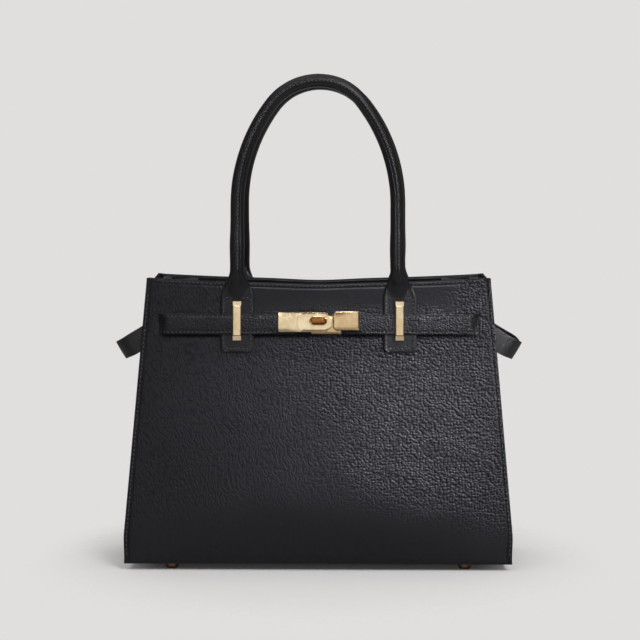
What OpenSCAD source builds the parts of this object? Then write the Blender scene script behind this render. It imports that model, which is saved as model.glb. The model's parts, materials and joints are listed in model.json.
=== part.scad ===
// Structured top handle bag with two rolled handles, a side belt and a turn lock.
// The front faces -Y, +X is to the right seen from the front, and the feet stand on z = 0.

/* [Body] */
// Width over the two side seams at the bottom edge
base_w = 305; // [275:1:335]
// Depth over the front and back panels at the bottom edge
base_d = 130; // [115:1:145]
// Width over the two side seams at the top edge
top_w = 268; // [245:1:285]
// Depth over the front and back panels at the top edge
top_d = 78; // [66:1:90]
// Height of the panels from the bottom edge to the top corners
body_h = 220; // [200:1:240]
// How far the middle of each top edge dips below its corners
top_dip = 4; // [2:0.5:6]
// Rounding of the bottom corners of the panels
corner_r = 4; // [2:0.5:6]
// Width of the turned-out side seam
seam_w = 5; // [4:0.5:6]
// How far the top of each gusset folds inwards at its middle
gusset_fold = 30; // [20:1:34]
// Height over the bottom edge at which the gusset fold starts
fold_start = 50; // [30:1:80]

/* [Layers] */
// Thickness of the outer leather
leather_t = 1.6; // [1.4:0.1:2]
// Thickness of the stiffening board
board_t = 1.2; // [1:0.1:1.6]
// Thickness of the lining
lining_t = 0.8; // [0.6:0.1:1]
// Thickness of the belt straps
strap_t = 1.8; // [1.6:0.1:2.2]

/* [Belt] */
// Width of the belt
belt_w = 15.8; // [13:0.2:17]
// How far the belt's middle lies below the top corners
belt_drop = 35.5; // [34:0.5:38]
// Distance of each belt slit from the edge of the front
slit_inset = 13.3; // [13:0.1:15]
// Height of each belt slit
slit_h = 17; // [16.4:0.1:18]
// Width of each belt slit
slit_w = 2.6; // [2.4:0.1:3]
// Angle by which the side loops droop below the horizontal
droop = 31; // [20:1:38]
// How far the side loops start below the belt
loop_drop = 2.6; // [1:0.2:4]
// How far the side loops stand out past the seam
loop_reach = 13; // [12:0.2:20]
// Outer radius of the side loops' rounded corners
loop_r = 12; // [10:0.5:13]

/* [Lock] */
// How far the lock and the keepers sit over the belt's middle
lock_lift = 2.4; // [0:0.1:3]
// How far the clasp plate's middle sits below the turn knob's axis
clasp_drop = 1.1; // [0:0.1:2]
// Length of the clasp plate on the left belt
clasp_w = 41.8; // [38:0.2:44]
// Length of the clasp plate past the turn knob's axis
clasp_tip = 10.8; // [10:0.2:12]
// Height of the clasp plate
clasp_h = 15; // [14:0.5:16]
// Chamfer of the clasp plate's tip
tip_chamfer = 4.5; // [3:0.5:5]
// Radius of the step that the raised part of the clasp plate starts with
step_r = 10; // [8:0.5:12]
// Thickness of the clasp plate at the belt
plate_t = 1.2; // [1:0.1:1.5]
// Height of the raised part over the plate
raised_t = 1; // [0.8:0.1:1.4]
// Length of the turn knob's head
knob_w = 11.4; // [10:0.1:13]
// Height of the turn knob's head
knob_h = 4.4; // [3.7:0.1:4.6]
// Thickness of the turn knob's head
knob_t = 3; // [2.5:0.1:4]
// Width of the fixed block on the right belt
block_w = 20; // [16:0.5:24]
// Height of the fixed block
block_h = 15; // [14:0.5:16]
// Thickness of the fixed block over the base plate
block_t = 5.8; // [5:0.1:7]
// Distance between the clasp plate's tip and the block
block_gap = 0.8; // [0.6:0.1:2]
// Width of the lock's base plate
base_plate_w = 35.5; // [34:0.5:38]
// Height of the lock's base plate
base_plate_h = 14.2; // [13:0.1:15]
// Thickness of the lock's base plate
base_plate_t = 1.4; // [1.2:0.1:1.5]

/* [Keepers] */
// Distance of the handle tabs and keepers from the middle
tab_x = 63.2; // [58:0.1:68]
// Width of a keeper bar
keeper_w = 6.5; // [5.5:0.1:8]
// Length of a keeper bar
keeper_l = 30.4; // [30:0.1:34]
// Thickness of a keeper bar over the tab
keeper_t = 4.6; // [4.2:0.1:5.5]
// Length of the bevel at each end of a keeper bar
bevel_l = 4; // [2:0.1:5]
// Depth of the bevel at each end of a keeper bar
bevel_t = 2.2; // [1:0.1:3]

/* [Handles] */
// Diameter of the rolled handles
roll_d = 11; // [9.5:0.5:12.5]
// Height of the handles over the top corners
handle_rise = 159; // [140:1:180]
// How much smaller the radius of the handle's crown is than half its width
arch_step = 17; // [14:0.5:19]
// Width of the handle tabs
tab_w = 26; // [22:0.5:30]
// How far the tabs reach below the belt's middle
tab_drop = 21.5; // [18:0.5:28]
// How far over the belt's middle each tab starts to narrow into its roll
neck_rise = 19.5; // [18:0.5:22]
// Rounding of the tabs' lower corners
tab_r = 3; // [2:0.5:5]
// Thickness of the leather round the handle core
roll_t = 1.1; // [1:0.1:1.5]

/* [Feet] */
// Height of the feet
foot_h = 5; // [4:0.5:7]
// Diameter of the feet
foot_d = 10; // [8:0.5:12]
// Distance of the feet in from the side seams
foot_side_inset = 38.5; // [28:0.5:50]
// Distance of the feet in from the front and back
foot_front_inset = 13; // [12:1:20]

/* [Fit] */
// Gap between faces of pieces that move against each other
play = 0.3; // [0.2:0.05:0.4]
// Gap of screws and of the turn knob's shaft in their holes
hole_play = 0.05; // [0.03:0.01:0.08]
// Gap between the turn knob's head and the slot that it passes
slot_play = 0.6; // [0.5:0.05:0.8]

/* [Hidden] */
$fn = 64;

LEATHER = [0.14, 0.14, 0.16];
SMOOTH = [0.12, 0.12, 0.13];
GOLD = [0.87, 0.78, 0.62];
BOARD = [0.45, 0.36, 0.27];
CLOTH = [0.25, 0.24, 0.24];

// Panels: a panel's own frame has x to the right, y up along the panel and z outwards
lean = atan((base_d - top_d) / 2 / body_h);
panel_h = body_h / cos(lean);
wall_t = leather_t + board_t + lining_t;
side_slope = (base_w - top_w) / 2 / panel_h;
inner_gap = 4;
edge_gap = 1;
overrun = 1;
belt_z = foot_h + body_h - belt_drop;
bow_r = (top_w * top_w / 4 + top_dip * top_dip) / (2 * top_dip);

function along(z) = (z - foot_h) / cos(lean);
function edge_x(v) = base_w / 2 - side_slope * v;

belt_v = along(belt_z);
lock_v = belt_v + lock_lift;
clasp_v = lock_v - clasp_drop;
slit_x = edge_x(belt_v) - slit_inset;

// Belt: its layers over the panel, from the tab outwards
belt_low = leather_t;
belt_top = belt_low + strap_t;
end_low = belt_low + play;
end_top = end_low + strap_t;
strap_room = strap_t + 2 * play;
pocket_gap = 1;
pocket_w = belt_w + 2 * pocket_gap;
pocket_l = slit_inset / cos(droop) + belt_w + slit_w;
hinge_x = tab_x - keeper_w / 2 - strap_t / 2 - 2 * play;
hinge_w = (end_low + end_top) / 2;

// Lock: its layers over the panel
plate_top = end_top + plate_t;
raised_top = plate_top + raised_t;
rim_h = 0.7;
rim_w = 0.8;
rim_bevel_share = 0.3;
rim_top = raised_top + rim_h;
head_low = rim_top + play;
head_top = head_low + knob_t;
shaft_r = 1.8;
shaft_neck_r = 1.3;
slot_size = [knob_w + 2 * slot_play, knob_h + 2 * slot_play];
clamp_w = 11.5;
screw_r = 1;
screw_head_r = 2;
screw_head_t = 1.3;
lock_screw_x = 13.8;
backing_t = 1;
washer_t = 0.5;
washer_r = 4.4;
clip_t = 0.6;
clip_r = 3.4;
tail = 1;
rivet_r = 0.9;
rivet_v = 4.2;

// Keepers and their screws
keeper_screw_inset = 2.5;
keeper_screw_v = keeper_l / 2 - keeper_screw_inset;
keeper_gap = 1;
keeper_room = belt_w + 2 * keeper_gap;
keeper_chamfer = 0.6;
screw_bite = 2;

// Handles: an arch of three arcs on straight legs
roll_r = roll_d / 2;
roll_w = roll_r + leather_t;
hinge_lift = 1.5;
hinge_v = along(foot_h + body_h + hinge_lift);
fold_over = 5;
neck_top_v = hinge_v - roll_r * (1 / cos(fold_over) + tan(fold_over)) - play;
crown_r = tab_x - arch_step;
side_r = crown_r + 5 * arch_step;
rise = crown_r + 3 * arch_step;
joint_angle = atan(3 / 4);
spring_v = along(foot_h + body_h + handle_rise) - roll_r - rise;
leg_length = spring_v - hinge_v;

// Feet
foot_x = base_w / 2 - foot_side_inset;
foot_y = base_d / 2 - foot_front_inset;
foot_shank_r = 1.5;
foot_washer_r = 5;

// A piece drawn in the panel's frame, placed on the front or on the back
module on_front() translate([0, -base_d / 2, foot_h]) rotate([90 - lean, 0, 0]) children();
module on_back() mirror([0, 1, 0]) on_front() children();

// A slab of the given outline between two heights over the panel
module layer(low, high) translate([0, 0, low]) linear_extrude(high - low) children();

// Both sides of what is drawn on the right
module both_sides() {
  children();
  mirror([1, 0, 0]) children();
}

module slot_shape(size) {
  r = size.y / 2;
  run = size.x - size.y;
  square([run, 2 * r], center = true);
  for (side = [-1, 1]) translate([side * run / 2, 0]) circle(r);
}

// A piece with the plan of a rounded slot, made by turning and drawing one profile
module slot_turned(size) {
  run = size.x - size.y;
  for (side = [0, 1]) rotate(180 * side) {
    translate([run / 2, 0, 0]) rotate(-90) rotate_extrude(angle = 180) children();
    translate([run / 2, 0, 0]) rotate([90, 0, -90]) linear_extrude(run) children();
  }
}

// The outline of a panel with its dipped top edge, drawn in by inset at the sides
module panel_outline(inset = 0, low = 0, high = panel_h) {
  difference() {
    polygon([
      [-edge_x(low) + inset, low], [edge_x(low) - inset, low],
      [edge_x(high) - inset, high], [-edge_x(high) + inset, high],
    ]);
    translate([0, panel_h - top_dip + bow_r]) circle(bow_r, $fn = 720);
  }
}

// The corner that rounding takes off the bottom of the outer leather
module bottom_corner() {
  translate([edge_x(0) - corner_r, 0]) difference() {
    translate([0, -corner_r]) square([2 * corner_r, 2 * corner_r]);
    translate([0, corner_r]) circle(corner_r);
    translate([-corner_r, corner_r]) square([4 * corner_r, 2 * corner_r]);
  }
}

// Holes for everything that is fastened through the front
module front_holes() {
  translate([0, lock_v, -2 * wall_t]) cylinder(h = 4 * wall_t, r = shaft_r + hole_play);
  for (side = [-1, 1]) {
    translate([side * lock_screw_x, lock_v, -2 * wall_t])
      cylinder(h = 4 * wall_t, r = screw_r + hole_play);
    for (end = [-1, 1])
      translate([side * tab_x, lock_v + end * keeper_screw_v, -2 * wall_t])
        cylinder(h = 4 * wall_t, r = screw_r + hole_play);
  }
}

// The slit that the belt dives through
module belt_slit() {
  translate([slit_x - slit_w / 2, belt_v - slit_h / 2, -2 * wall_t])
    cube([slit_w, slit_h, 4 * wall_t]);
}

// The room behind the outer leather for the strap on its way from the slit to the seam
module strap_pocket() {
  translate([slit_x, belt_v - loop_drop, -leather_t - strap_room]) rotate(-droop)
    translate([-slit_w - play, -pocket_w / 2, 0])
      cube([pocket_l, pocket_w, strap_room]);
}

module outer_leather() {
  layer(-leather_t, 0) difference() {
    panel_outline();
    both_sides() bottom_corner();
  }
}

module front_panel() color(LEATHER) on_front() difference() {
  outer_leather();
  front_holes();
  both_sides() belt_slit();
}

module back_panel() color(LEATHER) on_back() outer_leather();

module stiffener_slab() {
  layer(-leather_t - board_t, -leather_t) panel_outline(seam_w + inner_gap, inner_gap);
}

module lining_slab() {
  layer(-wall_t, -leather_t - board_t) panel_outline(seam_w + inner_gap, inner_gap);
}

module front_stiffener() color(BOARD) on_front() difference() {
  stiffener_slab();
  front_holes();
  both_sides() {
    belt_slit();
    strap_pocket();
  }
}

module back_stiffener() color(BOARD) on_back() difference() {
  stiffener_slab();
  both_sides() strap_pocket();
}

module front_lining() color(CLOTH) on_front() difference() {
  lining_slab();
  front_holes();
  both_sides() {
    belt_slit();
    strap_pocket();
  }
}

module back_lining() color(CLOTH) on_back() difference() {
  lining_slab();
  both_sides() strap_pocket();
}

module facing_strip() {
  layer(-wall_t - leather_t, -wall_t)
    panel_outline(seam_w + inner_gap + 2 * edge_gap,
      lock_v + keeper_l / 2 + edge_gap, panel_h - edge_gap);
}

module front_top_facing() color(SMOOTH) on_front() facing_strip();
module back_top_facing() color(SMOOTH) on_back() facing_strip();

// Gussets: a side sheet that dips inwards at its middle, more the higher it is, and whose two
// edges are turned out behind the panels' edges
sheet_rows = 12;
sheet_columns = 14;
crease_share = 0.22;
fold_power = 1.3;
gusset_t = 2;
gusset_low_z = foot_h + leather_t;
crease_length = sqrt(1 + crease_share * crease_share);

function half_depth(z) = base_d / 2 - (base_d - top_d) / 2 * (z - foot_h) / body_h;
function fold_share(z) = pow(max(0, (z - foot_h - fold_start) / (body_h - fold_start)), fold_power);
function dip_share(s) =
  (crease_length - sqrt(s * s + crease_share * crease_share)) / (crease_length - crease_share);
function sheet_x(z, s, inward) =
  edge_x(along(z)) - seam_w - inward - gusset_fold * fold_share(z) * dip_share(s);

// A sheet on the right side from near to far inwards, its edges behind a front and back wall of
// the given thickness, and turned out if flanged
module gusset_sheet(near, far, low_z, wall, flanged) {
  top_z = foot_h + body_h - edge_gap;
  first = flanged ? -1 : 0;
  last = flanged ? sheet_columns + 1 : sheet_columns;
  columns = last - first + 1;
  count = (sheet_rows + 1) * columns;
  function row_z(i) = low_z + (top_z - low_z) * i / sheet_rows;
  function outer_reach(z) = half_depth(z) - leather_t - play;
  function reach(z) = half_depth(z) - wall - play;
  function limit(z, inward) = flanged ? reach(z) - far + inward : reach(z);
  function sheet_y(z, s, inward) = max(-limit(z, inward), min(limit(z, inward), s * reach(z)));
  function point(i, j, inward) =
    let (z = row_z(i), s = max(-1, min(1, 2 * j / sheet_columns - 1)), y = sheet_y(z, s, inward))
    let (on_flange = j < 0 || j > sheet_columns)
    [on_flange ? edge_x(along(z)) : sheet_x(z, y / outer_reach(z), inward), y, z];
  function corner(i, j, side) = side * count + i * columns + j - first;
  points = [for (inward = [near, far]) for (i = [0:sheet_rows]) for (j = [first:last])
    point(i, j, inward)];
  outer = [for (i = [0:sheet_rows - 1]) for (j = [first:last - 1]) each [
    [corner(i, j, 0), corner(i + 1, j, 0), corner(i, j + 1, 0)],
    [corner(i, j + 1, 0), corner(i + 1, j, 0), corner(i + 1, j + 1, 0)]]];
  inner = [for (i = [0:sheet_rows - 1]) for (j = [first:last - 1]) each [
    [corner(i, j, 1), corner(i, j + 1, 1), corner(i + 1, j, 1)],
    [corner(i, j + 1, 1), corner(i + 1, j + 1, 1), corner(i + 1, j, 1)]]];
  ends = [for (i = [0:sheet_rows - 1]) each [
    [corner(i, first, 0), corner(i, first, 1), corner(i + 1, first, 1), corner(i + 1, first, 0)],
    [corner(i, last, 0), corner(i + 1, last, 0), corner(i + 1, last, 1), corner(i, last, 1)]]];
  rims = [for (j = [first:last - 1]) each [
    [corner(0, j, 0), corner(0, j + 1, 0), corner(0, j + 1, 1), corner(0, j, 1)],
    [corner(sheet_rows, j, 0), corner(sheet_rows, j, 1),
     corner(sheet_rows, j + 1, 1), corner(sheet_rows, j + 1, 0)]]];
  polyhedron(points = points, faces = concat(outer, inner, ends, rims));
}

module gusset() color(LEATHER) difference() {
  gusset_sheet(0, gusset_t, gusset_low_z, leather_t, true);
  on_front() strap_pocket();
  on_back() strap_pocket();
}

module right_gusset() gusset();
module left_gusset() mirror([1, 0, 0]) gusset();

module gusset_lining() color(CLOTH) difference() {
  near = gusset_t + 2 * play;
  gusset_sheet(near, near + lining_t, foot_h + leather_t + board_t + edge_gap,
    wall_t + leather_t + play, false);
  on_front() strap_pocket();
  on_back() strap_pocket();
}

module right_gusset_lining() gusset_lining();
module left_gusset_lining() mirror([1, 0, 0]) gusset_lining();

// Base: leather, board and lining, with holes for the feet
base_board_t = 2;

module base_slab(width, depth, low, high) {
  difference() {
    translate([-width / 2, -depth / 2, low]) cube([width, depth, high - low]);
    for (x = [-1, 1]) for (y = [-1, 1])
      translate([x * foot_x, y * foot_y, low - overrun])
        cylinder(h = high - low + 2 * overrun, r = foot_shank_r + hole_play);
  }
}

module base_panel() color(LEATHER)
  base_slab(base_w - 2 * seam_w, base_d - 2 * leather_t - 2 * play, foot_h, foot_h + leather_t);

module base_board() color(BOARD)
  base_slab(base_w - 2 * seam_w - 2 * inner_gap, base_d - 4 * inner_gap,
    foot_h + leather_t, foot_h + leather_t + base_board_t);

module base_lining() color(CLOTH) {
  low = foot_h + leather_t + base_board_t;
  difference() {
    base_slab(base_w - 2 * seam_w - 2 * inner_gap, base_d - 4 * inner_gap, low, low + lining_t);
    for (x = [-1, 1]) for (y = [-1, 1])
      translate([x * foot_x, y * foot_y, low - overrun])
        cylinder(h = lining_t + 2 * overrun, r = foot_washer_r + play);
  }
}

// Handle tab: a shield sewn to the panel that narrows and thickens into the roll
module tab_shape() {
  low = belt_v - tab_drop;
  high = belt_v + neck_rise;
  translate([-tab_w / 2, low + tab_r]) square([tab_w, high - low - tab_r]);
  translate([-tab_w / 2 + tab_r, low]) square([tab_w - 2 * tab_r, high - low]);
  for (side = [-1, 1]) translate([side * (tab_w / 2 - tab_r), low + tab_r]) circle(tab_r);
}

neck_waist_w = 17;
neck_waist_t = 7.5;
sliver = 0.4;

module neck() {
  low = belt_v + neck_rise;
  middle = (low + neck_top_v) / 2;
  module waist() translate([0, middle, neck_waist_t / 2]) rotate([90, 0, 0])
    linear_extrude(sliver) slot_shape([neck_waist_w, neck_waist_t], $fn = 32);
  hull() {
    translate([-tab_w / 2, low - sliver, 0]) cube([tab_w, sliver, leather_t]);
    waist();
  }
  hull() {
    waist();
    translate([0, neck_top_v, roll_w]) rotate([90, 0, 0]) cylinder(h = sliver, r = roll_r, $fn = 32);
  }
}

module tab(drilled) translate([tab_x, 0, 0]) difference() {
  union() {
    layer(0, leather_t) tab_shape();
    neck();
  }
  if (drilled) for (end = [-1, 1])
    translate([0, lock_v + end * keeper_screw_v, -overrun])
      cylinder(h = leather_t + 2 * overrun, r = screw_r + hole_play);
}

module front_right_tab() color(SMOOTH) on_front() tab(true);
module front_left_tab() color(SMOOTH) on_front() mirror([1, 0, 0]) tab(true);
module back_right_tab() color(SMOOTH) on_back() tab(false);
module back_left_tab() color(SMOOTH) on_back() mirror([1, 0, 0]) tab(false);

// Handle: straight legs, two side arcs and a crown arc, all of one round section.
// The arcs' centres lie on the slope of a 3-4-5 triangle, so that they meet face to face.
module handle_path() {
  room = 2 * side_r;
  module above_joint() rotate(joint_angle)
    translate([-room, 0, -roll_d]) cube([2 * room, room, 2 * roll_d]);
  module below_joint() rotate(joint_angle)
    translate([-room, -room, -roll_d]) cube([2 * room, room, 2 * roll_d]);
  module side_arc() translate([tab_x - side_r, 0, 0]) difference() {
    rotate_extrude(angle = 90) translate([side_r, 0]) children();
    above_joint();
  }
  both_sides() side_arc() children();
  translate([0, rise - crown_r, 0]) difference() {
    rotate_extrude(angle = 180) translate([crown_r, 0]) children();
    both_sides() below_joint();
  }
  both_sides() translate([tab_x, 0, 0]) rotate([90, 0, 0])
    linear_extrude(leg_length) children();
}

module roll_section() difference() {
  circle(roll_r);
  circle(roll_r - roll_t);
}

module handle_leather() translate([0, spring_v, roll_w]) {
  handle_path() roll_section();
  both_sides() translate([tab_x, -leg_length, 0]) difference() {
    sphere(roll_r);
    rotate([-90, 0, 0]) cylinder(h = roll_d, r = roll_d);
  }
}

module handle_core() translate([0, spring_v, roll_w]) handle_path() circle(roll_r - roll_t);

module front_handle() color(SMOOTH) on_front() handle_leather();
module front_handle_core() color(BOARD) on_front() handle_core();
module back_handle() color(SMOOTH) on_back() handle_leather();
module back_handle_core() color(BOARD) on_back() handle_core();

// A belt's front run on the right side: it lies on the tab, then dives through the slit
belt_bend = 4;

module belt_run(inner_x) {
  run_end = slit_x + strap_t / 2;
  translate([0, belt_v + belt_w / 2, 0]) rotate([90, 0, 0]) linear_extrude(belt_w) polygon([
    [inner_x, belt_low], [tab_x + tab_w / 2 + belt_bend, belt_low],
    [tab_x + tab_w / 2 + 3 * belt_bend, 0], [run_end - strap_t, 0],
    [run_end - strap_t, -leather_t], [run_end, -leather_t],
    [run_end, strap_t / 2], [run_end - strap_t / 2, strap_t],
    [tab_x + tab_w / 2 + 3 * belt_bend, strap_t], [tab_x + tab_w / 2 + belt_bend, belt_top],
    [inner_x, belt_top],
  ]);
}

// Where the clasp plate and the block clamp the belts
clamp_x = clasp_w - clasp_tip - clamp_w;
block_left = clasp_tip + block_gap;
block_foot = 8;

module right_belt() color(SMOOTH) on_front() belt_run(block_left + block_foot);
module left_belt() color(SMOOTH) on_front() mirror([1, 0, 0])
  belt_run(hinge_x + strap_t / 2 + play);

// The free end of the left belt, which bends at the keeper
module left_belt_end() color(SMOOTH) on_front() {
  translate([-hinge_x, belt_v - belt_w / 2, hinge_w]) rotate([-90, 0, 0])
    cylinder(h = belt_w, r = strap_t / 2);
  difference() {
    translate([-hinge_x, belt_v - belt_w / 2, end_low])
      cube([hinge_x - clamp_x, belt_w, strap_t]);
    clasp_rivet_places() cylinder(h = head_top, r = rivet_r + hole_play);
  }
}

// A side loop: from behind the front slit, out through the seam and round to the back
module side_loop() {
  exit_x = (edge_x(belt_v - 2 * belt_w) - slit_x) / cos(droop) + belt_w / 2 * tan(droop);
  seam_z = belt_z - loop_drop - exit_x * sin(droop);
  half = half_depth(seam_z) - leather_t - strap_t / 2;
  straight = half + strap_t / 2 - loop_r;
  module leg() translate([slit_x, belt_v - loop_drop, -leather_t - strap_t]) rotate(-droop)
    translate([-slit_w / 2, -belt_w / 2, 0])
      cube([exit_x + slit_w / 2 + strap_t, belt_w, strap_t]);
  module corner() translate([loop_reach - loop_r, straight]) intersection() {
    difference() {
      circle(loop_r);
      circle(loop_r - strap_t);
    }
    square(loop_r);
  }
  module half_loop() {
    corner();
    translate([loop_reach - strap_t, 0]) square([strap_t, straight]);
    translate([0, straight + loop_r - strap_t]) square([loop_reach - loop_r, strap_t]);
  }
  on_front() leg();
  on_back() leg();
  translate([slit_x + exit_x * cos(droop), 0, seam_z]) rotate([0, droop, 0])
    translate([0, 0, -belt_w / 2]) linear_extrude(belt_w) {
      half_loop();
      mirror([0, 1]) half_loop();
    }
}

module right_side_loop() color(SMOOTH) side_loop();
module left_side_loop() color(SMOOTH) mirror([1, 0, 0]) side_loop();

// A keeper bar bridges the belt; its two ends stand on the tab
module keeper() {
  half = keeper_l / 2;
  side = keeper_w / 2;
  top = leather_t + keeper_t;
  room_low = -lock_lift - keeper_room / 2;
  room_high = -lock_lift + keeper_room / 2;
  translate([tab_x, lock_v, 0]) difference() {
    intersection() {
      rotate([90, 0, 90]) linear_extrude(keeper_w, center = true) polygon([
        [-half, leather_t], [room_low, leather_t],
        [room_low, end_top + play], [room_high, end_top + play],
        [room_high, leather_t], [half, leather_t],
        [half, top - bevel_t], [half - bevel_l, top],
        [-half + bevel_l, top], [-half, top - bevel_t],
      ]);
      rotate([90, 0, 0]) linear_extrude(keeper_l + 2 * overrun, center = true) polygon([
        [-side, leather_t], [side, leather_t],
        [side, top - keeper_chamfer], [side - keeper_chamfer, top],
        [-side + keeper_chamfer, top], [-side, top - keeper_chamfer],
      ]);
    }
    for (end = [-1, 1]) translate([0, end * keeper_screw_v, leather_t - overrun])
      cylinder(h = screw_bite + overrun, r = screw_r + hole_play);
  }
}

module right_keeper() color(GOLD) on_front() keeper();
module left_keeper() color(GOLD) on_front() mirror([1, 0, 0]) keeper();

// A screw from the inside: its head under the backing, its shank reaching up to tip
module inside_screw(head_low, tip) {
  translate([0, 0, head_low]) cylinder(h = screw_head_t, r = screw_head_r);
  translate([0, 0, head_low]) cylinder(h = tip - head_low, r = screw_r);
}

module keeper_backing_plates() color(GOLD) on_front() both_sides() difference() {
  translate([tab_x - keeper_w / 2, lock_v - keeper_l / 2, -wall_t - backing_t])
    cube([keeper_w, keeper_l, backing_t]);
  front_holes();
}

module keeper_screws() color(GOLD) on_front() both_sides() for (end = [-1, 1])
  translate([tab_x, lock_v + end * keeper_screw_v, 0])
    inside_screw(-wall_t - backing_t - screw_head_t, leather_t + screw_bite - play);

// Lock: base plate, turn knob on its shaft, and what holds them inside
base_plate_drop = 2.8;
base_lip_left = 5.4;
base_lip_h = 3;

module lock_base_plate() color(GOLD) on_front() difference() {
  side = base_plate_w / 2;
  low = lock_v - base_plate_h / 2 - base_plate_drop;
  layer(0, base_plate_t) polygon([
    [-base_lip_left, low], [side, low], [side, low + base_plate_h], [-side, low + base_plate_h],
    [-side, low + base_lip_h], [-base_lip_left, low + base_lip_h],
  ]);
  front_holes();
}

module lock_backing_plate() color(GOLD) on_front() difference() {
  translate([-base_plate_w / 2, lock_v - base_plate_h / 2, -wall_t - backing_t])
    cube([base_plate_w, base_plate_h, backing_t]);
  front_holes();
}

module lock_screws() color(GOLD) on_front() {
  head = -wall_t - backing_t - screw_head_t;
  translate([-lock_screw_x, lock_v, 0]) inside_screw(head, base_plate_t - play);
  translate([lock_screw_x, lock_v, 0]) inside_screw(head, base_plate_t + screw_bite);
}

washer_low = -wall_t - backing_t - washer_t;
clip_low = washer_low - play - clip_t;
knob_dome = 0.9;

module turn_knob() color(GOLD) on_front() translate([0, lock_v, 0]) {
  half = knob_h / 2;
  slot_turned([knob_w, knob_h]) polygon([
    [0, head_low], [half - knob_dome / 2, head_low], [half, head_low + knob_dome / 2],
    [half, head_top - knob_dome], [half - knob_dome, head_top], [0, head_top],
  ]);
  translate([0, 0, clip_low + clip_t + hole_play])
    cylinder(h = head_low + knob_dome - clip_low - clip_t - hole_play, r = shaft_r);
  translate([0, 0, clip_low - hole_play]) cylinder(h = clip_t + 3 * hole_play, r = shaft_neck_r);
  translate([0, 0, clip_low - tail]) cylinder(h = tail - hole_play, r = shaft_r);
}

module knob_washer() color(GOLD) on_front() translate([0, lock_v, washer_low]) difference() {
  cylinder(h = washer_t, r = washer_r);
  translate([0, 0, -overrun]) cylinder(h = washer_t + 2 * overrun, r = shaft_r + hole_play);
}

module knob_clip() color(GOLD) on_front() translate([0, lock_v, clip_low]) difference() {
  cylinder(h = clip_t, r = clip_r);
  translate([0, 0, -overrun]) cylinder(h = clip_t + 2 * overrun, r = shaft_neck_r + hole_play);
  translate([0, -shaft_neck_r, -overrun])
    cube([clip_r + overrun, 2 * shaft_neck_r, clip_t + 2 * overrun]);
}

// Clasp plate: flat where it clamps the belt, raised round the slot for the knob
module clasp_outline() {
  left = clasp_tip - clasp_w;
  half = clasp_h / 2;
  polygon([
    [left, -half], [clasp_tip - tip_chamfer, -half], [clasp_tip, -half + tip_chamfer],
    [clasp_tip, half - tip_chamfer], [clasp_tip - tip_chamfer, half], [left, half],
  ]);
}

module clasp_rivet_places() {
  for (end = [-1, 1])
    translate([-clamp_x - clamp_w / 2, clasp_v + end * rivet_v, 0]) children();
}

step_x = 6.5;

module clasp_plate() color(GOLD) on_front() difference() {
  translate([0, clasp_v, 0]) union() {
    layer(end_top, plate_top) clasp_outline();
    layer(plate_top, raised_top) intersection() {
      clasp_outline();
      union() {
        translate([-step_x, 0]) circle(step_r);
        translate([-step_x, -clasp_h]) square([clasp_w, 2 * clasp_h]);
      }
    }
  }
  translate([0, lock_v, end_top - overrun]) linear_extrude(raised_top - end_top + 2 * overrun)
    slot_shape(slot_size);
  clasp_rivet_places() translate([0, 0, end_top - overrun])
    cylinder(h = overrun + plate_t / 2, r = rivet_r + hole_play);
}

module clasp_rim() color(GOLD) on_front() translate([0, lock_v, 0]) {
  inner = slot_size.y / 2;
  slot_turned(slot_size) polygon([
    [inner, raised_top], [inner + rim_w, raised_top],
    [inner + rim_w * (1 - rim_bevel_share), rim_top], [inner + rim_w * rim_bevel_share, rim_top],
  ]);
}

back_plate_inset = 0.5;

module clasp_back_plate() color(GOLD) on_front() difference() {
  translate([-clamp_x - clamp_w, clasp_v - clasp_h / 2 + back_plate_inset, end_low - plate_t / 2])
    cube([clamp_w, clasp_h - 2 * back_plate_inset, plate_t / 2]);
  clasp_rivet_places() cylinder(h = head_top, r = rivet_r + hole_play);
}

module clasp_rivets() color(GOLD) on_front() clasp_rivet_places()
  translate([0, 0, end_low - plate_t / 2])
    cylinder(h = end_top - end_low + plate_t - hole_play, r = rivet_r);

// Block on the right belt: its foot stands on the base plate beside the clasp plate's tip
block_chamfer = 0.7;
block_low_bevel = 2;
block_notch = 2.2;

module clasp_block() color(GOLD) on_front() difference() {
  top = base_plate_t + block_t;
  half = block_h / 2;
  right = block_left + block_w;
  translate([0, lock_v, 0]) intersection() {
    rotate([90, 0, 0]) linear_extrude(block_h, center = true) polygon([
      [block_left, base_plate_t], [block_left + block_foot, base_plate_t],
      [block_left + block_foot, belt_top], [right, belt_top],
      [right, top - block_chamfer], [right - block_chamfer, top],
      [block_left + block_chamfer, top], [block_left, top - block_chamfer],
    ]);
    rotate([90, 0, 90]) linear_extrude(right + overrun) polygon([
      [-half, base_plate_t], [half, base_plate_t], [half, top - block_chamfer],
      [half - block_chamfer, top], [-half + block_low_bevel, top], [-half, top - block_low_bevel],
    ]);
    layer(0, top + overrun) polygon([
      [block_left, -half + block_notch], [block_left + block_notch, -half], [right, -half],
      [right, half], [block_left + block_notch, half], [block_left, half - block_notch],
    ]);
  }
  translate([lock_screw_x, lock_v, 0])
    cylinder(h = base_plate_t + screw_bite + play, r = screw_r + hole_play);
}

// A foot: a domed stud with a shank through the base, closed by a washer inside
shank_top = foot_h + leather_t + base_board_t + washer_t;
foot_lip = 1;

module foot() {
  rotate_extrude() polygon([
    [0, 0], [foot_d / 2 - foot_lip, 0], [foot_d / 2 - foot_lip / 3, foot_lip],
    [foot_d / 2, 2 * foot_lip], [foot_d / 2, foot_h - foot_lip],
    [foot_d / 2 - foot_lip, foot_h], [foot_shank_r, foot_h],
    [foot_shank_r, shank_top], [0, shank_top],
  ]);
}

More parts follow.
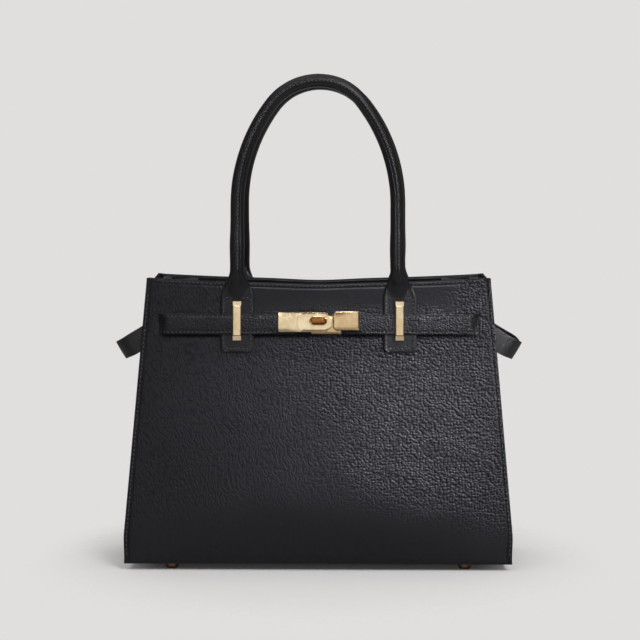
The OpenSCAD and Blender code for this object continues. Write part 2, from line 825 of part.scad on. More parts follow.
module front_right_foot() color(GOLD) translate([foot_x, -foot_y, 0]) foot();
module front_left_foot() color(GOLD) translate([-foot_x, -foot_y, 0]) foot();
module back_right_foot() color(GOLD) translate([foot_x, foot_y, 0]) foot();
module back_left_foot() color(GOLD) translate([-foot_x, foot_y, 0]) foot();

module foot_washers() color(GOLD) for (x = [-1, 1]) for (y = [-1, 1])
  translate([x * foot_x, y * foot_y, shank_top - washer_t]) difference() {
    cylinder(h = washer_t, r = foot_washer_r);
    translate([0, 0, -overrun]) cylinder(h = washer_t + 2 * overrun, r = foot_shank_r + hole_play);
  }

front_panel();
back_panel();
left_gusset();
right_gusset();
base_panel();
front_stiffener();
back_stiffener();
base_board();
front_lining();
back_lining();
left_gusset_lining();
right_gusset_lining();
base_lining();
front_top_facing();
back_top_facing();
front_left_tab();
front_right_tab();
back_left_tab();
back_right_tab();
front_handle();
front_handle_core();
back_handle();
back_handle_core();
left_belt();
left_belt_end();
right_belt();
left_side_loop();
right_side_loop();
left_keeper();
right_keeper();
keeper_backing_plates();
keeper_screws();
lock_base_plate();
turn_knob();
knob_washer();
knob_clip();
lock_backing_plate();
lock_screws();
clasp_plate();
clasp_rim();
clasp_back_plate();
clasp_rivets();
clasp_block();
front_left_foot();
front_right_foot();
back_left_foot();
back_right_foot();
foot_washers();
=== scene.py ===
import json
import math

import bmesh
import bpy
from mathutils import Matrix, Vector, noise


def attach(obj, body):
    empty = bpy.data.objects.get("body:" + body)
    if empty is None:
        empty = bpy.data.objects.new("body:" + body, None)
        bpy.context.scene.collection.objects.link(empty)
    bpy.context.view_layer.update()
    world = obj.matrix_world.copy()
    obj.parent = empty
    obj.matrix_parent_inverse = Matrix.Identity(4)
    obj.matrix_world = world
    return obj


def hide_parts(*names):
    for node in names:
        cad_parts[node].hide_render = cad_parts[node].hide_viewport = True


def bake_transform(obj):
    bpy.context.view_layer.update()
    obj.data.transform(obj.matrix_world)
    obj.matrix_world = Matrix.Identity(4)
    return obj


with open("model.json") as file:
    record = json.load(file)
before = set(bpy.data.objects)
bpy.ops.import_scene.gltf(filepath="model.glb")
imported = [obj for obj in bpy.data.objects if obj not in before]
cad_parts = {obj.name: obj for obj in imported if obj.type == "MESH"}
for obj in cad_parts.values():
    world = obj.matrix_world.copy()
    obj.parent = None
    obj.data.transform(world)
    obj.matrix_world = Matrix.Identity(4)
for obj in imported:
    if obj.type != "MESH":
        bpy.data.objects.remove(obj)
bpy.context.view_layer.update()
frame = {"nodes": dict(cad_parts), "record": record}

MM = 0.001

# The bag's measures, in millimetres, the same as in the CAD
BASE_W, BASE_D, TOP_W, TOP_D = 305, 130, 268, 78
BODY_H, TOP_DIP, FOOT_H, SEAM_W = 220, 4, 5, 5
LEATHER_T, WALL_T = 1.6, 3.6
GUSSET_FOLD, FOLD_START, CREASE, FOLD_POWER = 30, 50, 0.22, 1.3
LEAN = math.atan((BASE_D - TOP_D) / 2 / BODY_H)
SIN_LEAN, COS_LEAN = math.sin(LEAN), math.cos(LEAN)
PANEL_H = BODY_H / COS_LEAN
SIDE_SLOPE = (BASE_W - TOP_W) / 2 / PANEL_H
BOW_R = (TOP_W * TOP_W / 4 + TOP_DIP * TOP_DIP) / (2 * TOP_DIP)
BELT_W, STRAP_T, SLIT_H, SLIT_W = 15.8, 1.8, 17, 2.6
BELT_Z = FOOT_H + BODY_H - 35.5
BELT_V = (BELT_Z - FOOT_H) / COS_LEAN
LOCK_V = BELT_V + 2.4
DROOP, LOOP_DROP, LOOP_REACH, LOOP_R = math.radians(31), 2.6, 13, 12
KEEPER_L = 30.4
TAB_X, TAB_W, TAB_R = 63.2, 26, 3
TAB_LOW, NECK_LOW = BELT_V - 21.5, BELT_V + 19.5
ROLL_R = 5.5
ROLL_W = ROLL_R + LEATHER_T
HINGE_V = (BODY_H + 1.5) / COS_LEAN
ARCH_STEP = 17
CROWN_R = TAB_X - ARCH_STEP
SIDE_R = CROWN_R + 5 * ARCH_STEP
SPRING_V = (BODY_H + 158.6) / COS_LEAN - ROLL_R - CROWN_R - 3 * ARCH_STEP
FRONT, BACK = -1, 1


def edge_x(v):
    """The panel's half width at v."""
    return BASE_W / 2 - SIDE_SLOPE * v


DRAWN_IN, DRAWN_IN_TOP = 2.2, 24


def drawn_in(v):
    """How much the seams are drawn in just over the base."""
    return DRAWN_IN * (1 - smooth(0, DRAWN_IN_TOP, v))


def top_v(x):
    """The height of the CAD panel's top edge, a shallow arc."""
    return PANEL_H - TOP_DIP + BOW_R - math.sqrt(BOW_R * BOW_R - x * x)


SLIT_X = edge_x(BELT_V) - 13.3


def on_panel(x, v, w, side=FRONT):
    """A point x to the right, v up along a panel and w out from it."""
    return Vector((x, side * (BASE_D / 2 - v * SIN_LEAN + w * COS_LEAN),
                   FOOT_H + v * COS_LEAN + w * SIN_LEAN))


def out_of_panel(side=FRONT):
    return Vector((0, side * COS_LEAN, SIN_LEAN))


def up_panel(side):
    return Vector((0, -side * SIN_LEAN, COS_LEAN))


def smooth(low, high, value):
    """0 at low, 1 at high, and smooth in between."""
    t = min(1, max(0, (value - low) / (high - low)))
    return t * t * (3 - 2 * t)


def bell(distance, width):
    """1 at no distance, and nearly 0 at twice the width."""
    return math.exp(-(distance / width) ** 2)


def wave(x, y, z, size, seed):
    """A soft random height between about -1 and 1, the same on every run."""
    return noise.noise(Vector((x / size + seed, y / size - seed, z / size + 3 * seed)))


# Meshes
def steps(stops):
    """Grid lines through the stops: each stop is a place and the step up to the next one."""
    lines = []
    for (start, step), (end, _) in zip(stops, stops[1:]):
        count = max(1, round((end - start) / step))
        lines += [start + (end - start) * i / count for i in range(count)]
    return lines + [stops[-1][0]]


def spread(first, last, count):
    """Places from first to last in count equal steps."""
    return [first + (last - first) * i / count for i in range(count + 1)]


def sheet(across, along, place, kept=None):
    """A grid with its lines at across and along, bent to where place puts each crossing.

    The sheet is left open wherever kept says no for the middle of a cell.
    """
    bm = bmesh.new()
    columns, rows = len(across) - 1, len(along) - 1
    bmesh.ops.create_grid(bm, x_segments=columns, y_segments=rows, size=1)

    def line_at(lines, share):
        at = (share + 1) / 2 * (len(lines) - 1)
        low = min(int(at + 0.01), len(lines) - 1)
        if at - low < 0.1:
            return lines[low]
        return (lines[low] + lines[low + 1]) / 2

    if kept:
        doomed = []
        for face in bm.faces:
            middle = face.calc_center_median()
            if not kept(line_at(across, middle.x), line_at(along, middle.y)):
                doomed.append(face)
        bmesh.ops.delete(bm, geom=doomed, context="FACES")
    for vert in bm.verts:
        vert.co = place(line_at(across, vert.co.x), line_at(along, vert.co.y))
    return bm


def face_towards(bm, direction, judged=None):
    """Turns an open sheet so that its faces, or those whose middles judged picks, point along direction."""
    bmesh.ops.recalc_face_normals(bm, faces=bm.faces)
    looked_at = [f for f in bm.faces if judged is None or judged(f.calc_center_median())]
    if sum(f.normal.dot(direction) * f.calc_area() for f in looked_at) < 0:
        bmesh.ops.reverse_faces(bm, faces=bm.faces)


def close_tube(bm):
    """Joins a rolled-up sheet's two long edges and fills its two ends."""
    bmesh.ops.remove_doubles(bm, verts=bm.verts, dist=0.001)
    bmesh.ops.holes_fill(bm, edges=[e for e in bm.edges if e.is_boundary], sides=0)
    bmesh.ops.recalc_face_normals(bm, faces=bm.faces)


def piece(bm, name, finishes):
    """Makes the mesh, which is in millimetres, an object with its finishes."""
    bmesh.ops.scale(bm, vec=(MM, MM, MM), verts=bm.verts)
    mesh = bpy.data.meshes.new(name)
    bm.to_mesh(mesh)
    bm.free()
    for finish in finishes:
        mesh.materials.append(finish)
    mesh.shade_smooth()
    obj = bpy.data.objects.new(name, mesh)
    bpy.context.scene.collection.objects.link(obj)
    return obj


def thicken(obj, thickness, rounding=0.3):
    """Gives a sheet its thickness behind its faces, with rounded edges in its second finish."""
    solid = obj.modifiers.new("thickness", "SOLIDIFY")
    solid.thickness = thickness * MM
    solid.offset = -1
    solid.use_even_offset = True
    solid.material_offset_rim = 1
    if rounding:
        bevel = obj.modifiers.new("rounding", "BEVEL")
        bevel.width = rounding * MM
        bevel.segments = 2
        bevel.limit_method = "ANGLE"
        bevel.angle_limit = math.radians(50)
    return obj


def apply_modifiers(obj):
    """Turns what the modifiers show into the piece's own mesh."""
    graph = bpy.context.evaluated_depsgraph_get()
    mesh = bpy.data.meshes.new_from_object(obj.evaluated_get(graph), depsgraph=graph)
    obj.modifiers.clear()
    obj.data = mesh
    return obj


def ride(obj, body, *nodes):
    """Fixes the piece to a body, in place of the CAD nodes."""
    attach(obj, body)
    if nodes:
        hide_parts(*nodes)


def stitches(rows, pitch, length, thick):
    """Rows of thread stitches. A row is a list of (point, outward) pairs along the seam."""
    bm = bmesh.new()
    for row in rows:
        places = [p for p, _ in row]
        ends = [0]
        for p, q in zip(places, places[1:]):
            ends.append(ends[-1] + (q - p).length)
        count = int(ends[-1] // pitch)
        k = 0
        for i in range(count):
            at = (i + 0.5) * ends[-1] / count
            while ends[k + 1] < at:
                k += 1
            share = (at - ends[k]) / (ends[k + 1] - ends[k])
            point = places[k].lerp(places[k + 1], share)
            out = row[k][1].lerp(row[k + 1][1], share).normalized()
            run = (places[k + 1] - places[k]).normalized()
            side = out.cross(run).normalized()
            out = run.cross(side)
            turn = Matrix((run, side, out)).transposed().to_4x4()
            size = Matrix.Diagonal((length / 2, thick * 0.8, thick * 0.62, 1))
            bmesh.ops.create_icosphere(
                bm, subdivisions=1, radius=1,
                matrix=Matrix.Translation(point + out * thick * 0.15) @ turn @ size)
    return bm


# Finishes
class Value:
    """A shader socket in a formula: its sums, differences and products add Math nodes."""

    def __init__(self, finish, socket):
        self.finish, self.socket = finish, socket

    def _math(self, operation, first, second):
        return self.finish.node("ShaderNodeMath", {"operation": operation}, {0: first, 1: second})

    def __add__(self, other):
        return self._math("ADD", self, other)

    def __radd__(self, other):
        return self._math("ADD", other, self)

    def __sub__(self, other):
        return self._math("SUBTRACT", self, other)

    def __rsub__(self, other):
        return self._math("SUBTRACT", other, self)

    def __mul__(self, other):
        return self._math("MULTIPLY", self, other)

    def __rmul__(self, other):
        return self._math("MULTIPLY", other, self)

    def between(self, low, high):
        """0 at low, 1 at high, and smooth in between."""
        return self.finish.node("ShaderNodeMapRange", {"interpolation_type": "SMOOTHSTEP"},
                                {"Value": self, "From Min": low, "From Max": high})


class Finish:
    """A material with a Principled shader and the nodes that vary it over the surface."""

    def __init__(self, name, **uniform):
        self.material = bpy.data.materials.new(name)
        self.material.use_nodes = True
        self.tree = self.material.node_tree
        self.shader = self.tree.nodes["Principled BSDF"]
        for key, value in uniform.items():
            self.shader.inputs[key.replace("_", " ")].default_value = value

    def node(self, kind, settings=None, values=None, output=0):
        """Adds a node with its settings and inputs, and gives one of its outputs."""
        made = self.tree.nodes.new(kind)
        for key, value in (settings or {}).items():
            setattr(made, key, value)
        for key, value in (values or {}).items():
            self.link(value, made.inputs[key])
        return Value(self, made.outputs[output])

    def link(self, value, socket):
        if isinstance(value, Value):
            self.tree.links.new(value.socket, socket)
        else:
            socket.default_value = value

    def place(self, scale=1, stretch=(1, 1, 1)):
        """Object coordinates in millimetres, stretched and scaled."""
        here = self.node("ShaderNodeTexCoord", output=3)
        size = tuple(scale * s / MM for s in stretch)
        return self.node("ShaderNodeMapping", None, {"Vector": here, "Scale": size})

    def noise(self, vector, scale, detail, roughness=0.5):
        return self.node("ShaderNodeTexNoise", None, {
            "Vector": vector, "Scale": scale, "Detail": detail, "Roughness": roughness})

    def axis(self, vector, index):
        return self.node("ShaderNodeSeparateXYZ", None, {"Vector": vector}, output=index)

    def blend(self, share, first, second):
        """A colour between two colours."""
        return self.node("ShaderNodeMix", {"data_type": "RGBA"},
                         {0: share, 6: first, 7: second}, output=2)

    def bump(self, height, depth, strength, below=None):
        """A normal that shows height as depth millimetres, on top of the one below."""
        values = {"Height": height, "Distance": depth * MM, "Strength": strength}
        if below is not None:
            values["Normal"] = below
        return self.node("ShaderNodeBump", None, values)

    def wear(self, **sockets):
        """Feeds the shader's varying sockets."""
        for key, value in sockets.items():
            self.link(value, self.shader.inputs[key.replace("_", " ")])
        return self.material


def shade(colour, share):
    """The same colour at a share of its brightness."""
    return tuple(share * c for c in colour[:3]) + (1,)


def grey(level, warm=0.0):
    """A grey, redder and less blue by warm."""
    return (level * (1 + warm), level, level * (1 - warm), 1)


COOL_TINT = (0.92, 0.92, 1.0, 1)
CELL_DOME = 1.9
CELL_DISORDER = 0.7


def pebbles(finish, cell, stretch, turn, drift):
    """The height of pebbled grain: domed cells of about cell millimetres, warped by up to half of drift."""
    at = finish.place()
    warp = finish.node("ShaderNodeTexNoise", None, {"Vector": at, "Scale": 0.055, "Detail": 2}, output=1)
    centred = finish.node("ShaderNodeVectorMath", {"operation": "SUBTRACT"}, {0: warp, 1: (0.5, 0.5, 0.5)})
    moved = finish.node("ShaderNodeVectorMath", {"operation": "MULTIPLY_ADD"},
                        {0: centred, 1: (drift, drift, drift), 2: at})
    sized = finish.node("ShaderNodeMapping", None, {
        "Vector": moved, "Rotation": turn, "Scale": tuple(s / cell for s in stretch)})
    away = finish.node("ShaderNodeTexVoronoi", {"feature": "F1"},
                       {"Vector": sized, "Scale": 1.0, "Randomness": CELL_DISORDER})
    return 1 - away * away * CELL_DOME


# Where the panels' grain is pressed flat: over the base, most in the middle, and along most of the top edge
BASE_GRAIN, BASE_GRAIN_RISE, BASE_GRAIN_BOW = 0.02, 40, 0.0011
TOP_FLATNESS = 0.92
TOP_FLAT_Z, TOP_FLAT_LEFT, TOP_FLAT_RIGHT = (193, 208), (-75, -50), (95, 122)


def grained_leather(name, colour, rough, cell, depth, painted_shadow_band, flat_low=None, creased=1.0):
    """Black pebbled leather: domed cells that turn into slanting creases low down and to the left.

    The grain is nearly flat below about the height flat_low and along the top edge, where that is given.
    The third argument is a painted shadow under the belt or the lock, a darker and duller strip at the
    front:
    its lowest and highest place and its reach to both sides.
    Creased is how strong the creases are.
    """
    f = Finish(name, Specular_IOR_Level=0.19, Specular_Tint=COOL_TINT)
    at = f.place()
    x, z = f.axis(at, 0), f.axis(at, 2)
    patches = f.noise(at, 0.02, 3)
    round_cells = pebbles(f, cell, (0.95, 1, 1.1), (0, 0, 0), 5)
    creases = pebbles(f, cell * 0.92, (1, 1, 0.45), (0, 0.7, 0), 18)
    # The creases take over to the left and lower down, in patches
    share = (0.5 - x * 0.006 - z * 0.002 + patches * 0.8).between(0.45, 1.05) * creased
    cells = round_cells * (1 - share) + creases * share
    # Painted shadow: a strip at the front under the belt or the lock, darker in colour and duller
    low, high, reach = painted_shadow_band
    painted_shadow = z.between(low - 1, low + 1) - z.between(high - 0.5, high + 0.5)
    painted_shadow = painted_shadow * (1 - (x * x).between((reach - 2) ** 2, (reach + 2) ** 2))
    painted_shadow = painted_shadow * (1 - f.axis(at, 1).between(-30, -20))
    fine = f.noise(at, 2.2, 3, 0.6)
    # The grooves between the cells are duller than their domes
    grooves = (1 - cells).between(0.3, 0.85)
    height = cells * (1 - 0.45 * share)
    grain = 1.0
    if flat_low is not None:
        band = z + x * x * BASE_GRAIN_BOW + patches * 16 - 8
        lower = BASE_GRAIN + (1 - BASE_GRAIN) * band.between(flat_low, flat_low + BASE_GRAIN_RISE)
        upper = (z + patches * 24 - 12).between(*TOP_FLAT_Z)
        upper = upper * x.between(*TOP_FLAT_LEFT) * (1 - x.between(*TOP_FLAT_RIGHT))
        grain = lower * (1 - TOP_FLATNESS * upper)
        height = height * grain
    normal = f.bump(height, depth, 1.0, f.bump(fine, 0.03, 0.4))
    # Painted shade: the colour darkens in the grain's grooves, and more in the painted shadow strip
    tone = f.blend(cells * (1 - painted_shadow), shade(colour, 0.6), colour)
    dullness = rough - 0.1 + 0.08 * fine - 0.1 * height + 0.55 * painted_shadow
    return f.wear(Base_Color=tone, Normal=normal, Roughness=dullness + (0.12 + 0.3 * grooves) * grain)


# The handles' gloss from their legs up, how much more their crown has, and the heights where each comes in
LEG_GLOSS, LEG_GLOSS_Z = 0.75, (215, 260)
CROWN_GLOSS, CROWN_GLOSS_Z = 0.25, (300, 370)


def smooth_leather(name, colour, rough, depth, specular=0.26, gloss=0.0):
    """Leather with a fine flattened grain and long soft creases, with a gloss where hands hold it."""
    f = Finish(name, Specular_IOR_Level=specular, Specular_Tint=COOL_TINT, Coat_Roughness=0.32)
    at = f.place()
    cells = pebbles(f, 1.3, (1, 1, 0.7), (0, 0.3, 0), 6)
    creases = f.noise(f.place(1, (1, 1, 0.35)), 0.35, 3, 0.6)
    patches = f.noise(at, 0.03, 2)
    normal = f.bump(cells, depth, 0.7, f.bump(creases, 0.3, 0.5))
    tone = f.blend(patches, shade(colour, 0.7), colour)
    z = f.axis(at, 2)
    held = z.between(*LEG_GLOSS_Z) * LEG_GLOSS + z.between(*CROWN_GLOSS_Z) * CROWN_GLOSS
    return f.wear(Base_Color=tone, Roughness=rough + 0.16 * creases - 0.08 * cells, Normal=normal,
                  Coat_Weight=held * gloss)


def edge_paint(name):
    """The thick paint on cut leather edges, with soft drips."""
    f = Finish(name, Specular_IOR_Level=0.4)
    at = f.place()
    drips = f.noise(at, 0.25, 2)
    return f.wear(Base_Color=f.blend(drips, grey(0.006), grey(0.012)),
                  Roughness=0.38 + 0.2 * drips, Normal=f.bump(drips, 0.15, 0.6))


def thread(name):
    """Waxed black thread: slanting strands, with a painted highlight where they are raised."""
    f = Finish(name, Specular_IOR_Level=0.5)
    # The strands' twist, which also paints the highlight on their raised parts
    twist_and_highlight = f.node("ShaderNodeTexWave", {"bands_direction": "DIAGONAL"},
                   {"Vector": f.place(), "Scale": 0.9, "Distortion": 0.5})
    return f.wear(Base_Color=f.blend(twist_and_highlight, grey(0.035), grey(0.09)), Roughness=0.35 + 0.2 * twist_and_highlight,
                  Normal=f.bump(twist_and_highlight, 0.1, 0.5))


ACROSS, UPRIGHT, NO_RUN = (0.05, 1, 1), (1, 1, 0.05), (1, 1, 1)
LINE_CORE, LINE_EDGE = 0.15, 0.5


def gold(name, colour, rough, run, painted_line_z=None):
    """Gold plating, polished along run, with faint marks of handling.

    The last argument, where given, is the height of a thin painted dark line across it: a painted
    reflection of dark surroundings where its face turns into its lower bevel.
    """
    f = Finish(name, Metallic=1.0)
    lines = f.noise(f.place(1, run), 1.0, 3, 0.7)
    marks = f.noise(f.place(), 0.12, 3)
    deep = (colour[0] * 0.86, colour[1] * 0.8, colour[2] * 0.7, 1)
    tone = f.blend(marks.between(0.35, 0.7), deep, colour)
    # A painted dark reflection line across it
    if painted_line_z is not None:
        z = f.axis(f.place(), 2)
        line = z.between(painted_line_z - LINE_EDGE, painted_line_z - LINE_CORE)
        line = line - z.between(painted_line_z + LINE_CORE, painted_line_z + LINE_EDGE)
        tone = f.blend(line.between(0, 1), tone, shade(colour, 0.16))
    return f.wear(Base_Color=tone, Roughness=rough + 0.08 * marks + 0.05 * lines,
                  Normal=f.bump(lines, 0.02, 0.2))


def lining_cloth(name):
    """Tightly woven dark cloth: crossing threads with small slubs."""
    f = Finish(name, Specular_IOR_Level=0.25, Sheen_Weight=0.25, Sheen_Roughness=0.5)
    threads = {"Vector": f.place(), "Scale": 0.45, "Distortion": 0.6, "Detail": 1}
    warp, weft = (f.node("ShaderNodeTexWave", {"bands_direction": way}, threads) for way in "XZ")
    weave = f.node("ShaderNodeMath", {"operation": "MAXIMUM"}, {0: warp, 1: weft})
    slubs = f.noise(f.place(1, (1, 1, 0.2)), 0.5, 3)
    return f.wear(Base_Color=f.blend(slubs, grey(0.014, 0.06), grey(0.034, 0.06)),
                  Roughness=0.75 + 0.2 * slubs, Normal=f.bump(weave, 0.16, 0.8))


def board(name):
    """Pressed fibre board: short fibres in brown-grey."""
    f = Finish(name, Specular_IOR_Level=0.2)
    fibres = f.noise(f.place(1, (0.3, 1, 1.4)), 1.2, 4, 0.7)
    flecks = f.noise(f.place(), 0.5, 4, 0.8)
    return f.wear(Base_Color=f.blend(fibres, (0.12, 0.085, 0.055, 1), (0.3, 0.23, 0.16, 1)),
                  Roughness=0.8 + 0.15 * flecks, Normal=f.bump(flecks, 0.12, 0.6))


def core_rope(name):
    """Twisted pale cotton rope, as the handles are filled with."""
    f = Finish(name, Specular_IOR_Level=0.2, Sheen_Weight=0.3)
    strands = f.node("ShaderNodeTexWave", {"bands_direction": "DIAGONAL"},
                     {"Vector": f.place(), "Scale": 0.25, "Distortion": 1.0, "Detail": 2})
    return f.wear(Base_Color=f.blend(strands, (0.3, 0.25, 0.19, 1), (0.55, 0.49, 0.4, 1)),
                  Roughness=0.85 + 0.1 * strands, Normal=f.bump(strands, 0.4, 0.7))


# The keepers' painted dark line, a painted reflection where each bar's face turns into its lower bevel: its
# height up from the bar's lower end
KEEPER_PAINTED_LINE_V = 4.3
KEEPER_PAINTED_LINE_Z = FOOT_H + (LOCK_V - KEEPER_L / 2 + KEEPER_PAINTED_LINE_V) * COS_LEAN
# The panels' leather has a painted shadow under the belt, and the belt's leather has one under the lock
LEATHER = grained_leather("black_pebbled_leather", (0.0075, 0.0072, 0.0095, 1), rough=0.38, cell=2.2,
                          depth=0.4, painted_shadow_band=(BELT_Z - 10.6, BELT_Z - 7.4, SLIT_X), flat_low=37)
BELT_LEATHER = grained_leather("black_belt_leather", (0.0075, 0.0072, 0.009, 1), rough=0.36, cell=1.8,
                               depth=0.34, painted_shadow_band=(BELT_Z - 20, BELT_Z - 4.6, 37), creased=0.4)
ROLL_LEATHER = smooth_leather("black_roll_leather", (0.0075, 0.007, 0.008, 1), rough=0.32, depth=0.12,
                              specular=0.22, gloss=0.17)
LOOP_LEATHER = smooth_leather("black_loop_leather", (0.009, 0.0085, 0.008, 1), rough=0.5, depth=0.06)
EDGE = edge_paint("black_edge_paint")
THREAD = thread("black_waxed_thread")
GOLD = gold("pale_gold", (0.75, 0.63, 0.425, 1), 0.07, ACROSS)
# Painted shade: the block and base plate, the slot's rim and the keepers are the same plating, given darker
# copies of the plate's gold
SHADED_BLOCK_GOLD = gold("shaded_deep_gold", (0.6, 0.45, 0.265, 1), 0.07, ACROSS)
SHADED_RIM_GOLD = gold("shaded_warm_gold", (0.7, 0.52, 0.36, 1), 0.09, ACROSS)
SHADED_KEEPER_GOLD = gold("shaded_gold_upright", (0.66, 0.54, 0.36, 1), 0.08, UPRIGHT, KEEPER_PAINTED_LINE_Z)
KNOB_GOLD = gold("copper_gold", (0.29, 0.112, 0.034, 1), 0.12, ACROSS)
# Painted shade: the feet's gold is darkened to the shade under the bag
SHADED_FOOT_GOLD = gold("shaded_foot_gold", (0.2, 0.12, 0.07, 1), 0.38, NO_RUN)
CLOTH = lining_cloth("dark_lining_cloth")
BOARD = board("fibre_board")
ROPE = core_rope("cotton_rope")

# Front and back leather
# The leather's fold over the top edge: its radius, its height, and how far it lies over the CAD's edge
WRAP_R, WRAP_RISE, TOP_RAISE = 2.5, 1.7, 1.5
# How much lower it lies all along, in the middle and at the corners, and the length of the corners
TOP_SINK = {FRONT: 0.6, BACK: 0}
TOP_HANG = {FRONT: 0.8, BACK: 1.4}
CORNER_DROP = {FRONT: 0.6, BACK: 3}
CORNER_RUN = {FRONT: 1.5, BACK: 3}
FACING_END = LOCK_V + KEEPER_L / 2 + 1
FACING_H = 18
ARC_STEPS = 8
# The panel's columns are counted from 0 in the middle to GRID_HALF at its edges
GRID_HALF = 150
SLIT_LOW, SLIT_HIGH = ((SLIT_X + side * SLIT_W / 2) / edge_x(BELT_V) * GRID_HALF for side in (-1, 1))
# The height where the fullness ends, its two powers and about the highest value that they give
BELLY_TOP, BELLY_LOW, BELLY_HIGH, BELLY_PEAK = 160, 0.62, 1.15, 0.327
# The sewn grooves: how far in from the sides or down from the top they run, and how deep
SIDE_GROOVE, SIDE_GROOVE_DEEP = 3.3, 0.7
TOP_GROOVE, TOP_GROOVE_DEEP = 3.9, 0.4


def belly(x, v, deep):
    """How far the leather stands out where the bag is full, nothing at the edges and the belt."""
    t = min(1, max(0, v / BELLY_TOP))
    rise = t ** BELLY_LOW * (1 - t) ** BELLY_HIGH / BELLY_PEAK
    reach = min(1, abs(x) / (edge_x(v) - 6))
    return deep * rise * (1 - reach ** 2.2)


def top_line(x, side):
    """The height of the panel's top edge, which hangs in the middle and is cut at its outer corners."""
    edge = edge_x(PANEL_H) - abs(x)
    sunk = TOP_SINK[side] + TOP_HANG[side] * bell(x + 1, 28)
    return top_v(x) + TOP_RAISE - sunk - CORNER_DROP[side] * (1 - smooth(0, CORNER_RUN[side], edge))


def panel_leather(side, name, deep, seed):
    """One panel's leather: up the outside, over the top edge and down inside as the facing.

    Deep is how far it stands out at its fullest. Its columns are finer by the slits and along the seams.
    """
    half = steps([(0, 3), (118, 2), (SLIT_LOW, 1.45), (SLIT_HIGH, 1.6), (142.6, 0.75), (145.2, 0.4),
                  (147.2, 0.7), (GRID_HALF, 1)])
    across = sorted({-u for u in half} | set(half))
    wall = steps([(0, 0.7), (2.8, 2.6), (BELT_V - SLIT_H / 2, 2.35), (BELT_V + SLIT_H / 2, 2.6),
                  (PANEL_H - 6.4, 0.6), (PANEL_H - WRAP_RISE, 1)])
    over = [PANEL_H + i for i in range(1, ARC_STEPS + 1)]
    inside_start = PANEL_H + 20
    inside = [inside_start + d for d in steps([(0, 1.5), (FACING_H, 2)])]

    def place(u, s):
        share = u / GRID_HALF
        edge = (1 - abs(share)) * edge_x(min(s, PANEL_H))
        if s <= wall[-1]:
            x = share * (edge_x(s) - drawn_in(s))
            v = s + smooth(150, PANEL_H, s) * (top_line(x, side) - PANEL_H)
            w = belly(x, s, deep)
            w += 0.35 * wave(x, s, 0, 38, seed) * smooth(2, 22, edge) * smooth(0, 20, s)
            broad = 0.9 * wave(x, s, 0, 95, seed + 5) * smooth(4, 30, edge)
            w += broad * (1 - smooth(120, BELLY_TOP, s)) * smooth(0, 30, s)
            w -= SIDE_GROOVE_DEEP * bell(edge - SIDE_GROOVE, 0.8)
            w -= TOP_GROOVE_DEEP * bell(PANEL_H - s - TOP_GROOVE, 0.7) * smooth(8, 11, edge)
            # Its side and lower edges are rounded off
            w -= 0.4 * (1 - smooth(0, 1.2, edge)) + 0.6 * (1 - smooth(0, 1.8, s))
            return on_panel(x, v, w, side)
        x = share * edge_x(PANEL_H - 2)
        radius = 0.8 + (WRAP_R - 0.8) * smooth(4, 9, edge)
        top = top_line(x, side)
        if s <= PANEL_H + ARC_STEPS:
            turn = math.pi * (s - PANEL_H) / ARC_STEPS
            return on_panel(x, top - WRAP_RISE + WRAP_RISE * math.sin(turn),
                            -radius + radius * math.cos(turn), side)
        start = top - WRAP_RISE - 0.6
        down = start - (s - inside_start) / FACING_H * (start - FACING_END)
        w = -2 * radius - 0.12 * wave(x, down, 0, 12, seed + 9)
        return on_panel(x, down, w, side)

    def kept(u, s):
        slit = side == FRONT and SLIT_LOW < abs(u) < SLIT_HIGH and abs(s - BELT_V) < SLIT_H / 2
        behind_seam = s > PANEL_H + ARC_STEPS and (1 - abs(u) / GRID_HALF) * edge_x(PANEL_H) < 9.5
        return not slit and not behind_seam

    bm = sheet(across, wall + over + inside, place, kept)
    face_towards(bm, Vector((0, side, 0)), lambda at: abs(at.z - 60) < 40)
    return thicken(piece(bm, name, [LEATHER, EDGE]), thickness=1.4)


ride(panel_leather(FRONT, "front_panel_leather", deep=5.6, seed=1.0), "bag",
     "front_panel", "front_top_facing")
ride(panel_leather(BACK, "back_panel_leather", deep=4.2, seed=7.0), "bag",
     "back_panel", "back_top_facing")


# Gussets
# How far they stand out where the bag is full, from what height and over how much of it
GUSSET_FULL, FULL_LOW, FULL_H = 2.6, 8, 130


def half_depth(z):
    """Half the bag's depth at height z."""
    return BASE_D / 2 - (BASE_D - TOP_D) / 2 * (z - FOOT_H) / BODY_H


def gusset_x(z, s, inward):
    """The gusset's place at height z and share s of the depth from the middle.

    It folds inwards towards the top, and stands out a little lower down, where the bag is full.
    """
    v = (z - FOOT_H) / COS_LEAN
    fold = max(0, (z - FOOT_H - FOLD_START) / (BODY_H - FOLD_START)) ** FOLD_POWER
    length = math.sqrt(1 + CREASE * CREASE)
    dip = (length - math.sqrt(s * s + CREASE * CREASE)) / (length - CREASE)
    height = min(1, max(0, (z - FULL_LOW) / FULL_H))
    full = GUSSET_FULL * math.sin(math.pi * height) * (1 - s * s)
    return edge_x(v) - drawn_in(v) - SEAM_W - inward - GUSSET_FOLD * fold * dip + full


# Where the side loops pass the gussets' turned-out edges
LOOP_V = BELT_V - LOOP_DROP - 11 * math.tan(DROOP)
# The turned-out edges are the columns past 1, this much further
TURNED_OUT = 0.16
# How far those edges give way to the loops, and how much lower their top corners lie
LOOP_ROOM, CORNER_ROUND = 2.2, 1.2


